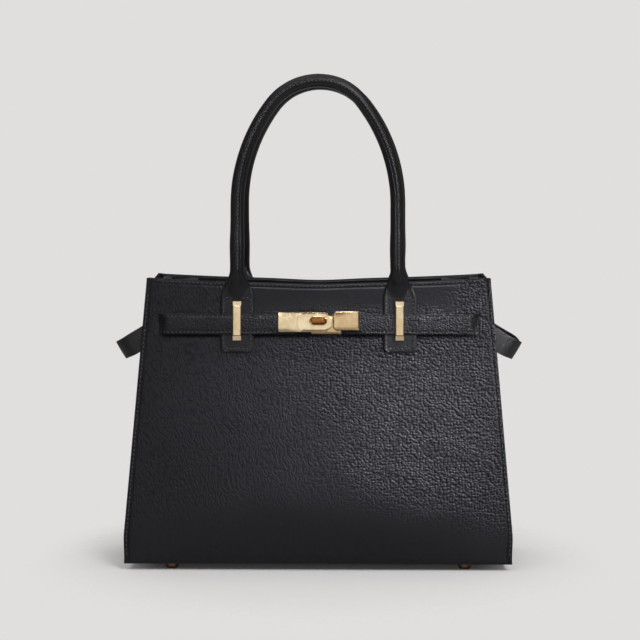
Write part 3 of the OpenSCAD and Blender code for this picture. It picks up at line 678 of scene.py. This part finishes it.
def gusset_leather(hand, name, seed):
    """A side's leather with its two edges turned out behind the panels' edges."""
    near = [-1 - TURNED_OUT, -1.12, -1.08, -1.04]
    far = [-a for a in reversed(near)]
    across = near + steps([(-1, 0.03), (-0.94, 0.06), (0.94, 0.03), (1, 1)]) + far
    low = FOOT_H + LEATHER_T + 0.2
    high = FOOT_H + BODY_H - 1.2

    def place(a, z):
        s = max(-1, min(1, a))
        z -= CORNER_ROUND * smooth(0.86, 0.97, abs(a)) * smooth(high - 12, high, z)
        v = (z - FOOT_H) / COS_LEAN
        reach = half_depth(z) - LEATHER_T - 0.15
        aside = LOOP_ROOM * smooth(16, 10, abs(v - LOOP_V)) * smooth(0.9, 1.0, abs(a))
        y = math.copysign(min(abs(s) * reach, reach - 1.5 * smooth(0.97, 1.0, abs(a))) - aside, a)
        if abs(a) > 1:
            x = gusset_x(z, 1, 0) + SEAM_W * (abs(a) - 1) / TURNED_OUT - 0.3
        else:
            x = gusset_x(z, s, 0) + 0.5 * wave(hand * gusset_x(z, s, 0), y, z, 24, seed) * (1 - s * s)
        return Vector((hand * x, y, z))

    bm = sheet(across, steps([(low, 3), (high, 1)]), place)
    face_towards(bm, Vector((hand, 0, 0)))
    return thicken(piece(bm, name, [LEATHER, EDGE]), thickness=1.5)


ride(gusset_leather(1, "right_gusset_leather", seed=2.0), "bag", "right_gusset")
ride(gusset_leather(-1, "left_gusset_leather", seed=4.0), "bag", "left_gusset")

# Base
FOOT_X, FOOT_Y = 114, 52


def slab(name, width, depth, low, high, rounding, finishes, holes=0.0):
    """A flat layer of the base, with holes of that radius round the feet."""
    bm = sheet(steps([(-width / 2, 6), (width / 2, 1)]), steps([(-depth / 2, 6), (depth / 2, 1)]),
               lambda x, y: Vector((x, y, high + 0.12 * wave(x, y, 0, 20, high))),
               lambda x, y: math.hypot(abs(x) - FOOT_X, abs(y) - FOOT_Y) >= holes)
    face_towards(bm, Vector((0, 0, 1)))
    return thicken(piece(bm, name, finishes), high - low, rounding)


ride(slab("base_leather", BASE_W - 2 * SEAM_W, BASE_D - 2 * LEATHER_T - 0.6, FOOT_H, FOOT_H + 1.5, 0.4,
          [LEATHER, EDGE]), "bag", "base_panel")

# Lining, whose cut edges are cloth too
LINING_MATERIALS = [CLOTH, CLOTH]
CLOTH_T = 0.7


def panel_lining(side, name, seed):
    """A wall's cloth, a little loose between the base and the facing."""
    lines = steps([(-1, 0.03), (1, 1)])

    def place(a, v):
        x = a * (edge_x(v) - SEAM_W - 4)
        top = top_v(x) - 2
        if v > 200:
            v = 200 + (v - 200) / (PANEL_H - 200) * (top - 200)
        loose = smooth(0, 40, v) * (1 - smooth(130, 165, v)) * (1 - abs(a) ** 4)
        w = -WALL_T + 0.05 - loose * (1.2 + 1.3 * wave(x, v, 0, 42, seed))
        return on_panel(x, v, w, side)

    bm = sheet(lines, steps([(4.5, 4), (PANEL_H, 1)]), place)
    face_towards(bm, Vector((0, -side, 0)))
    return thicken(piece(bm, name, LINING_MATERIALS), CLOTH_T, 0)


def gusset_lining(hand, name, seed):
    """A side's cloth, which follows the gusset's fold."""
    low = FOOT_H + LEATHER_T + 1.2 + 1

    def place(s, z):
        reach = half_depth(z) - LEATHER_T - 0.4
        x = gusset_x(z, s, 2.7) - 0.4 * (1 + wave(z, s * 60, 0, 30, seed)) * (1 - s * s)
        return Vector((hand * x, s * (reach - 2.2), z))

    bm = sheet(steps([(-1, 0.06), (1, 1)]), steps([(low, 4), (FOOT_H + BODY_H - 1.6, 1)]), place)
    face_towards(bm, Vector((-hand, 0, 0)))
    return thicken(piece(bm, name, LINING_MATERIALS), CLOTH_T, 0)


ride(panel_lining(FRONT, "front_lining_cloth", seed=3.0), "bag", "front_lining")
ride(panel_lining(BACK, "back_lining_cloth", seed=6.0), "bag", "back_lining")
ride(gusset_lining(1, "right_gusset_lining_cloth", seed=3.5), "bag", "right_gusset_lining")
ride(gusset_lining(-1, "left_gusset_lining_cloth", seed=8.5), "bag", "left_gusset_lining")
ride(slab("base_lining_cloth", BASE_W - 18, BASE_D - 16, FOOT_H + 3.6, FOOT_H + 4.4, 0,
          LINING_MATERIALS, holes=8.0), "bag", "base_lining")


# Handles and their tabs
NECK_END = HINGE_V + 9
TAB_HALF_T, NECK_FOLD, LEG_LEAN = 0.95, 7.5, 2.0
# The roll's sewn seam, with a lip and a groove beside it, and the raised rim of a tab
SEAM_LIP, SEAM_GROOVE, TAB_RIM = 0.3, 0.45, 0.5


def arch():
    """The roll's middle line from over the left hinge over the crown to the right one.

    Each straight leg runs into a wide arc, and that into the crown's arc. The arcs' middles lie 4 steps of
    ARCH_STEP apart across and 3 up.
    """
    joint = math.atan(3 / 4)
    points = [(-TAB_X, v) for v in spread(NECK_END, SPRING_V, 24)[:-1]]
    for i in range(24):
        turn = math.pi - joint * i / 24
        points.append((SIDE_R - TAB_X + SIDE_R * math.cos(turn), SPRING_V + SIDE_R * math.sin(turn)))
    left = list(points)
    for i in range(41):
        turn = math.pi - joint - (math.pi - 2 * joint) * i / 40
        points.append((CROWN_R * math.cos(turn), SPRING_V + 3 * ARCH_STEP + CROWN_R * math.sin(turn)))
    return points + [(-x, v) for x, v in reversed(left)]


def neck(v):
    """Half width, half thickness, middle height over the panel, squareness and fold of the tab's section.

    The fold is how high the rolled middle stands over the flat tab, down to the keeper.
    """
    round_share = smooth(HINGE_V - 9, HINGE_V + 5, v)
    corner = min(TAB_R, v - TAB_LOW)
    half = TAB_W / 2 - TAB_R + math.sqrt(max(0, TAB_R ** 2 - (TAB_R - corner) ** 2))
    half = ROLL_R + (half - ROLL_R) * (1 - smooth(BELT_V + 20, HINGE_V + 5, v))
    thick = TAB_HALF_T + (ROLL_R - TAB_HALF_T) * round_share
    middle = TAB_HALF_T + (ROLL_W - TAB_HALF_T) * smooth(HINGE_V - 10, HINGE_V + 6, v)
    fold = NECK_FOLD * smooth(NECK_LOW - 2, HINGE_V + 3, v) * (1 - round_share)
    return half, thick, middle, 2 + 3 * (1 - round_share) ** 2, fold


def seam_turn(share):
    """How far the roll's seam is turned from the front: a little to the right on both legs."""
    return (0.6 - 1.9 * smooth(0.55, 0.9, share)) / ROLL_R


def leg_lean(side, x, v):
    """How far the handle's legs stand off the middle of their tabs: the front one's right leg, inwards."""
    return -LEG_LEAN * (side == FRONT) * smooth(0, 45, x) * smooth(NECK_LOW, NECK_END, v)


def roll_ring(angle, middle, across, out, half, thick, square, fold, seam, turn):
    """A point of the section at angle, with the sewn seam's groove and lips round turn."""
    c, s = math.sin(angle), math.cos(angle)
    size = (abs(c) ** square + abs(s) ** square) ** (-1 / square)
    arc = ((angle - turn + math.pi) % math.tau - math.pi) * ROLL_R
    lift = seam * (SEAM_LIP * bell(arc, 1.3) - SEAM_GROOVE * bell(arc - 1.9, 0.32))
    aside = half * size * c
    raised = fold * bell(aside, 5.2) + TAB_RIM * (square - 2) / 3 * bell(half - 1.5 - abs(aside), 0.9)
    raised *= smooth(0, 0.3, s)
    return middle + across * (half + lift) * size * c + out * ((thick + lift) * size * s + raised)


def handle_rings(side, seed):
    """A handle's sections from the left tab's to the right one's, how many are a tab's, and the way out."""
    line = arch()
    out, up, right = out_of_panel(side), up_panel(side), Vector((1, 0, 0))
    tab_lines = steps([(TAB_LOW, 0.5), (TAB_LOW + 3, 2.5), (NECK_LOW, 1.3), (NECK_END, 1)])[:-1]

    def tab_ring(hand, v):
        half, thick, middle, square, fold = neck(v)
        x = hand * TAB_X + leg_lean(side, hand * TAB_X, v)
        turn = seam_turn(0 if hand < 0 else 1)
        sewn = smooth(NECK_LOW + 8, HINGE_V + 4, v)
        return on_panel(x, v, middle, side), right * -hand, half, thick, square, fold, sewn, turn

    rings = [tab_ring(-1, v) for v in tab_lines]
    for i, (x, v) in enumerate(line):
        before, after = line[max(0, i - 1)], line[min(len(line) - 1, i + 1)]
        run = Vector((after[0] - before[0], after[1] - before[1])).normalized()
        swell = 0.975 + 0.08 * bell(v - NECK_END - 13, 11) + 0.02 * wave(x, v, 0, 14, seed)
        swell += 0.01 * wave(x, v, 0, 4, seed + 2) * smooth(NECK_END, NECK_END + 6, v)
        across = right * run.y - up * run.x
        size = ROLL_R * swell
        centre = on_panel(x + leg_lean(side, x, v), v, ROLL_W, side)
        rings.append((centre, across, size, size, 2, 0, 1, seam_turn(i / len(line))))
    return rings + [tab_ring(1, v) for v in reversed(tab_lines)], len(tab_lines), out


def build_handle(side, word, seed):
    """A handle's leather with its two tabs, the roll's sewn seam, and the rope inside."""
    rings, tab_count, out = handle_rings(side, seed)
    fine = steps([(-1.0, 0.08), (-0.5, 0.055), (0.4, 0.08), (1.0, 1)])
    around = steps([(1.0, 0.2), (math.tau - 1.0, 1)])
    angles = fine[:-1] + around

    def place(angle, at):
        middle, across, *section = rings[round(at)]
        return roll_ring(angle, middle, across, out, *section)

    bm = sheet(angles, list(range(len(rings))), place)
    close_tube(bm)
    leather = piece(bm, word + "_handle_leather", [ROLL_LEATHER])

    seam_row = []
    for middle, across, *section in rings[tab_count - 4:len(rings) - tab_count + 4]:
        turn = section[-1]
        point = roll_ring(turn, middle, across, out, *section)
        seam_row.append((point, across * math.sin(turn) + out * math.cos(turn)))
    sewn = piece(stitches([seam_row], pitch=3.0, length=2.2, thick=0.55), word + "_handle_stitches",
                 [THREAD])

    hinge = on_panel(0, HINGE_V, 0, side) * MM
    for obj in (leather, sewn):
        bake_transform(obj)
    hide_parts(word + "_handle", word + "_left_tab", word + "_right_tab")

    core_rings = rings[tab_count:len(rings) - tab_count]

    def core_place(angle, at):
        middle, across = core_rings[round(at)][:2]
        return middle + (across * math.sin(angle) + out * math.cos(angle)) * (ROLL_R - LEATHER_T)

    bm = sheet(steps([(0, 0.4), (math.tau, 1)]), list(range(len(core_rings))), core_place)
    close_tube(bm)
    ride(piece(bm, word + "_handle_rope", [ROPE]), word + "_handle", word + "_handle_core")


build_handle(FRONT, "front", seed=2.0)
build_handle(BACK, "back", seed=5.0)


def tab_stitches(side, word):
    """The box sewn round each tab, inside its edges, and the row that closes it at the top."""
    inset, corner = 2.6, 2
    low, high = TAB_LOW + inset, NECK_LOW + 1
    half = TAB_W / 2 - inset
    box = [(-half, v) for v in spread(high, low + corner, 20)]
    box += [(x, low) for x in (-half + corner, 0, half - corner)]
    box += [(half, v) for v in spread(low + corner, high, 20)]
    top = [(x, high) for x in (-half + 1, 0, half - 1)]
    out, face = out_of_panel(side), 2 * TAB_HALF_T + 0.02
    rows = [[(on_panel(hand * TAB_X + x, v, face, side), out) for x, v in row]
            for hand in (-1, 1) for row in (box, top)]
    ride(piece(stitches(rows, pitch=3.0, length=2.2, thick=0.38), word + "_tab_stitches",
               [THREAD]), "bag")


tab_stitches(FRONT, "front")
tab_stitches(BACK, "back")


# Metal
def rounded_copy(node, name, width, finish, body="bag", segments=3):
    """The CAD piece with its sharp edges rounded, as polished metal has them."""
    bm = bmesh.new()
    bm.from_mesh(frame["nodes"][node].data)
    bmesh.ops.scale(bm, vec=(1 / MM, 1 / MM, 1 / MM), verts=bm.verts)
    bmesh.ops.remove_doubles(bm, verts=bm.verts, dist=0.002)
    bmesh.ops.dissolve_limit(bm, angle_limit=math.radians(2), verts=bm.verts, edges=bm.edges)
    sharp = [e for e in bm.edges if len(e.link_faces) == 2 and e.calc_face_angle(0) > math.radians(28)]
    bmesh.ops.bevel(bm, geom=sharp, offset=width, segments=segments, profile=0.5, material=-1,
                    affect="EDGES", clamp_overlap=True)
    bmesh.ops.triangulate(bm, faces=[f for f in bm.faces if len(f.verts) > 4])
    ride(piece(bm, name, [finish]), body, node)


rounded_copy("left_keeper", "left_keeper_bar", 0.3, SHADED_KEEPER_GOLD)
rounded_copy("right_keeper", "right_keeper_bar", 0.3, SHADED_KEEPER_GOLD)
rounded_copy("clasp_block", "lock_block", 0.2, SHADED_BLOCK_GOLD)
rounded_copy("clasp_plate", "lock_clasp_plate", 0.22, GOLD, "belt_end")
rounded_copy("clasp_rim", "lock_slot_rim", 0.12, SHADED_RIM_GOLD, "belt_end", 2)
rounded_copy("lock_base_plate", "lock_base", 0.3, SHADED_BLOCK_GOLD)
rounded_copy("turn_knob", "lock_turn_knob", 0.25, KNOB_GOLD, "turn_knob")
for corner in ("front_left", "front_right", "back_left", "back_right"):
    rounded_copy(corner + "_foot", corner + "_stud", 0.25, SHADED_FOOT_GOLD)


# Belts
# Where a belt's height changes, on the slit's side of the tab and on the lock's
OUTER_STEP, INNER_STEP = (77, 90), (56, 66)
# Over what length it dives into the slit, and how far behind the panel's plane its middle ends
BELT_DIVE, BELT_DEEP = 8, 2.4
# Where its rows of stitches run, as a share of its half width
BELT_SEWN = 0.78


def belt_height(x):
    """How high the middle of the belt's thickness lies over the panel at distance x from the middle.

    It lies free by the lock, then on the tab, then lower, and dives into the slit at its end.
    """
    outer = 1.0 + STRAP_T / 2
    on_tab = LEATHER_T + 0.2 + STRAP_T / 2
    free = 1.9 + STRAP_T / 2
    height = outer + (on_tab - outer) * (1 - smooth(*OUTER_STEP, x))
    height += (free - on_tab) * (1 - smooth(*INNER_STEP, x))
    dive = smooth(SLIT_X - BELT_DIVE, SLIT_X + 0.6, x)
    return height - (height + BELT_DEEP) * dive ** 2.2


def belt_face(a):
    """The padded face of the strap over its width."""
    return 0.5 * (1 - abs(a) ** 2.5) - 0.25 * bell(abs(a) * BELT_W / 2 - 6.1, 0.5)


def belt_point(hand, a, x, seed):
    """A point of the belt's outer face, a being the share of its half width from its middle line."""
    w = belt_height(x) + STRAP_T / 2 + belt_face(a) * (1 - smooth(SLIT_X - BELT_DIVE, SLIT_X, x))
    w += 0.15 * wave(x, a * 7, 0, 9, seed)
    return on_panel(hand * x, BELT_V + a * BELT_W / 2 + 0.1 * wave(x, 0, 0, 30, seed), w)


def belt(hand, inner, name, seed):
    """One side's strap from its inner end by the lock into the slit."""
    places = steps([(inner, 2), (SLIT_X - 9, 0.8), (SLIT_X + 0.8, 1)])
    widths = steps([(-1, 0.06), (-0.7, 0.1), (0.7, 0.06), (1, 1)])
    bm = sheet(widths, places, lambda a, x: belt_point(hand, a, x, seed))
    face_towards(bm, out_of_panel())
    return thicken(piece(bm, name, [BELT_LEATHER, EDGE]), STRAP_T, 0.35)


def belt_stitches(hand, inner, name, seed):
    """The rows along a strap's two edges."""
    places = spread(inner, SLIT_X - 2.5, 60)
    rows = [[(belt_point(hand, a, x, seed), out_of_panel()) for x in places]
            for a in (-BELT_SEWN, BELT_SEWN)]
    return piece(stitches(rows, pitch=3.2, length=2.3, thick=0.36), name, [THREAD])


BELT_HINGE_X, BELT_HINGE_W, BELT_BEND = -58.45, 2.8, 3.5
BELT_START, BELT_END = ((on_panel(BELT_HINGE_X, BELT_V, BELT_HINGE_W) + Vector((dx, 0, 0))) * MM
                        for dx in (-BELT_BEND, BELT_BEND))
ride(belt(1, inner=20.3, name="right_belt_leather", seed=3.0), "bag", "right_belt")
ride(belt_stitches(1, inner=33, name="right_belt_stitches", seed=3.0), "bag")
left_belt = apply_modifiers(belt(-1, inner=19.7, name="left_belt_leather", seed=6.0))
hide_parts("left_belt", "left_belt_end")
left_stitches = belt_stitches(-1, inner=32, name="left_belt_stitches", seed=6.0)
for obj in (left_belt, left_stitches):
    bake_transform(obj)


# Side loops
def loop_path():
    """How far the right loop's seam lies from the slit, its height, and the loop's middle line in plan.

    A station is its reach past the seam, its depth and how closely it follows the panel.
    """
    exit_x = (edge_x(BELT_V - 2 * BELT_W) - SLIT_X) / math.cos(DROOP) + BELT_W / 2 * math.tan(DROOP)
    seam_z = BELT_Z - LOOP_DROP - exit_x * math.sin(DROOP)
    half = half_depth(seam_z) - LEATHER_T - STRAP_T / 2 - 0.15
    radius = LOOP_R - STRAP_T / 2
    reach = LOOP_REACH - STRAP_T / 2
    inside = exit_x + 5
    line = [(-inside + inside * i / 10, -half, 1) for i in range(11)]
    for i in range(1, 15):
        turn = math.pi / 2 * i / 14
        line.append((reach - radius + radius * math.sin(turn), -half + radius - radius * math.cos(turn),
                     1 - smooth(0, 12, i)))
    line += [(reach, (-half + radius) * (1 - i / 8), 0) for i in range(1, 8)]
    return exit_x, seam_z, line + [(reach, 0, 0)] + [(a, -y, hug) for a, y, hug in reversed(line)]


def side_loop(hand, name, seed):
    """The strap that stands out past the gusset as a loop, drooping outwards."""
    exit_x, seam_z, line = loop_path()
    start_x = SLIT_X + exit_x * math.cos(DROOP)
    outward = Vector((math.cos(DROOP), 0, -math.sin(DROOP)))
    wide = Vector((math.sin(DROOP), 0, math.cos(DROOP)))
    last = len(line) - 1

    def point(i, a):
        reach, y, hug = line[i]
        tall = a * (BELT_W / 2 - 0.15)
        if a < 0:
            tall *= 1 + 0.1 * bell(reach - 2, 7)
        sag = 0.5 * wave(y, reach, a, 22, seed) * smooth(0, 12, reach)
        here = Vector((start_x, y, seam_z)) + outward * reach + wide * (tall + sag)
        here.y += (1 if y > 0 else -1) * hug * (half_depth(here.z) - half_depth(seam_z))
        return here

    def place(a, at):
        i = round(at)
        before, after = point(max(0, i - 1), a), point(min(last, i + 1), a)
        out = (after - before).normalized().cross(wide).normalized()
        here = point(i, a) + out * (STRAP_T / 2 + 0.25 * (1 - a * a))
        return Vector((hand * here.x, here.y, here.z))

    bm = sheet(steps([(-1, 0.1), (1, 1)]), list(range(len(line))), place)
    face_towards(bm, Vector((hand, 0, 0)), lambda at: abs(at.x) > edge_x(BELT_V) + 12 and abs(at.y) < 20)
    return thicken(piece(bm, name, [LOOP_LEATHER, EDGE]), STRAP_T, 0.35)


ride(side_loop(1, "right_loop_leather", seed=3.0), "bag", "right_side_loop")
ride(side_loop(-1, "left_loop_leather", seed=9.0), "bag", "left_side_loop")


# Stitches of the body: how far in from the side and top edges, and how far from the top's ends and the tabs
SIDE_SEAM, TOP_SEAM = 2.1, 2.5
TOP_SEAM_END, TAB_CLEAR = 11, 9


def panel_stitches(side, word):
    """The seams along a panel's sides and the row under its top edge, which the tabs interrupt."""
    out = out_of_panel(side)
    rows = []
    for hand in (-1, 1):
        side_seam = [(hand * (edge_x(v) - drawn_in(v) - SIDE_SEAM), v) for v in spread(6, PANEL_H - 12, 60)]
        rows.append([(on_panel(x, v, -0.05, side), out) for x, v in side_seam])
    end, inner, outer = edge_x(PANEL_H) - TOP_SEAM_END, TAB_X - TAB_CLEAR, TAB_X + TAB_CLEAR
    for first, last in ((-end, -outer), (-inner, inner), (outer, end)):
        places = spread(first, last, 40)
        rows.append([(on_panel(x, top_line(x, side) - TOP_SEAM, 0, side), out) for x in places])
    ride(piece(stitches(rows, pitch=3.3, length=2.4, thick=0.42), word + "_seam_stitches",
               [THREAD]), "bag")


panel_stitches(FRONT, "front")
panel_stitches(BACK, "back")

# The CAD's own pieces get their slot's finish
SLOT_FINISH = {"gold_metal": GOLD, "board": BOARD, "core": ROPE, "grained_leather": LEATHER,
               "smooth_leather": ROLL_LEATHER, "lining_cloth": CLOTH}
for material in frame["record"]["materials"]:
    for node in material.get("nodes", []):
        mesh = frame["nodes"][node].data
        mesh.materials.clear()
        mesh.materials.append(SLOT_FINISH[material["slot"]])

# Floor, light and camera
BACKDROP = (0.748, 0.737, 0.73, 1)
FLOOR_COLOUR = (0.93, 0.92, 0.915, 1)
# The floor's faint glow is painted light: it lifts the floor's shade under the bag
FLOOR_PAINTED_GLOW = 0.022
FLOOR_R, FLOOR_FADE, FLOOR_STRETCH = 900, 330, (1.35, 1, 1)


def floor():
    """A pale floor with a faint painted glow, which clears into the backdrop a little way from the bag, as
    the camera sees it.
    """
    bm = bmesh.new()
    bmesh.ops.create_circle(bm, cap_ends=True, segments=96, radius=FLOOR_R)
    f = Finish("pale_floor", Specular_IOR_Level=0.0, Roughness=1.0)
    f.shader.inputs["Emission Color"].default_value = grey(1.0)
    f.shader.inputs["Emission Strength"].default_value = FLOOR_PAINTED_GLOW
    grain = f.noise(f.place(), 0.9, 2)
    away = f.place(1 / FLOOR_FADE, FLOOR_STRETCH)
    far = f.node("ShaderNodeVectorMath", {"operation": "LENGTH"}, {0: away}, output=1)
    clear = f.node("ShaderNodeBsdfTransparent")
    f.wear(Base_Color=f.blend(grain, shade(FLOOR_COLOUR, 0.985), FLOOR_COLOUR))
    seen = f.node("ShaderNodeLightPath")
    mixed = f.node("ShaderNodeMixShader", None, {
        0: far.between(0.5, 1.0) * seen, 1: Value(f, f.shader.outputs[0]), 2: clear})
    f.tree.links.new(mixed.socket, f.tree.nodes["Material Output"].inputs["Surface"])
    return piece(bm, "floor", [f.material])


def lamp(name, place, aim, size, power, only_gloss=False, beam=180):
    """A soft lamp at place, in metres, turned to aim. Beam is how far its light spreads, in degrees."""
    light = bpy.data.lights.new(name, "AREA")
    light.spread = math.radians(beam)
    light.shape = "RECTANGLE"
    light.size, light.size_y = size
    light.energy = power
    obj = bpy.data.objects.new(name, light)
    obj.visible_diffuse = not only_gloss
    bpy.context.scene.collection.objects.link(obj)
    obj.location = place
    obj.rotation_euler = (Vector(aim) - Vector(place)).to_track_quat("-Z", "Y").to_euler()


def studio_world(level):
    """The backdrop, at full strength for the camera and at level as light."""
    world = bpy.data.worlds.new("studio")
    bpy.context.scene.world = world
    world.use_nodes = True
    tree = world.node_tree
    back = tree.nodes["Background"]
    back.inputs["Color"].default_value = BACKDROP
    path = tree.nodes.new("ShaderNodeLightPath")
    scale = tree.nodes.new("ShaderNodeMapRange")
    scale.inputs["To Min"].default_value = level
    tree.links.new(path.outputs["Is Camera Ray"], scale.inputs["Value"])
    tree.links.new(scale.outputs["Result"], back.inputs["Strength"])


def camera(azimuth, elevation, distance, lens, target):
    """The camera, at azimuth and elevation in degrees and distance in metres from its target."""
    data = bpy.data.cameras.new("camera")
    data.lens = lens
    data.sensor_width = 36
    data.clip_start, data.clip_end = 0.05, 50
    obj = bpy.data.objects.new("camera", data)
    bpy.context.scene.collection.objects.link(obj)
    a, e = math.radians(azimuth), math.radians(elevation)
    towards = Vector((math.sin(a) * math.cos(e), -math.cos(a) * math.cos(e), math.sin(e)))
    obj.location = Vector(target) + towards * distance
    obj.rotation_euler = (-towards).to_track_quat("-Z", "Y").to_euler()
    bpy.context.scene.camera = obj


floor()
studio_world(0.26)
lamp("key_softbox", place=(1.0, -2.3, 2.2), aim=(0, 0, 0.2), size=(0.8, 0.8), power=34)
lamp("front_card", place=(-0.1, -3.3, 0.8), aim=(0, 0, 0.2), size=(2.4, 1.3), power=8.8)
lamp("top_softbox", place=(0, -0.3, 2.6), aim=(0, 0, 0), size=(3.2, 3.2), power=31)
lamp("glint_lamp", place=(0.46, -0.64, 0.55), aim=(0.083, -0.05, 0.132), size=(0.2, 0.2), power=0.42,
     only_gloss=True, beam=20)
lamp("left_lamp", place=(-0.44, -0.72, 0.6), aim=(-0.125, -0.045, 0.203), size=(0.35, 0.35), power=0.06,
     only_gloss=True, beam=12)
lamp("high_lamp", place=(-0.02, -0.85, 0.95), aim=(0.01, -0.05, 0.12), size=(0.3, 0.3), power=0.1,
     only_gloss=True, beam=14)
camera(azimuth=1.2, elevation=3.3, distance=2.0, lens=141.5, target=(0.00035, 0, 0.1904))
bpy.context.scene.view_settings.view_transform = "Standard"
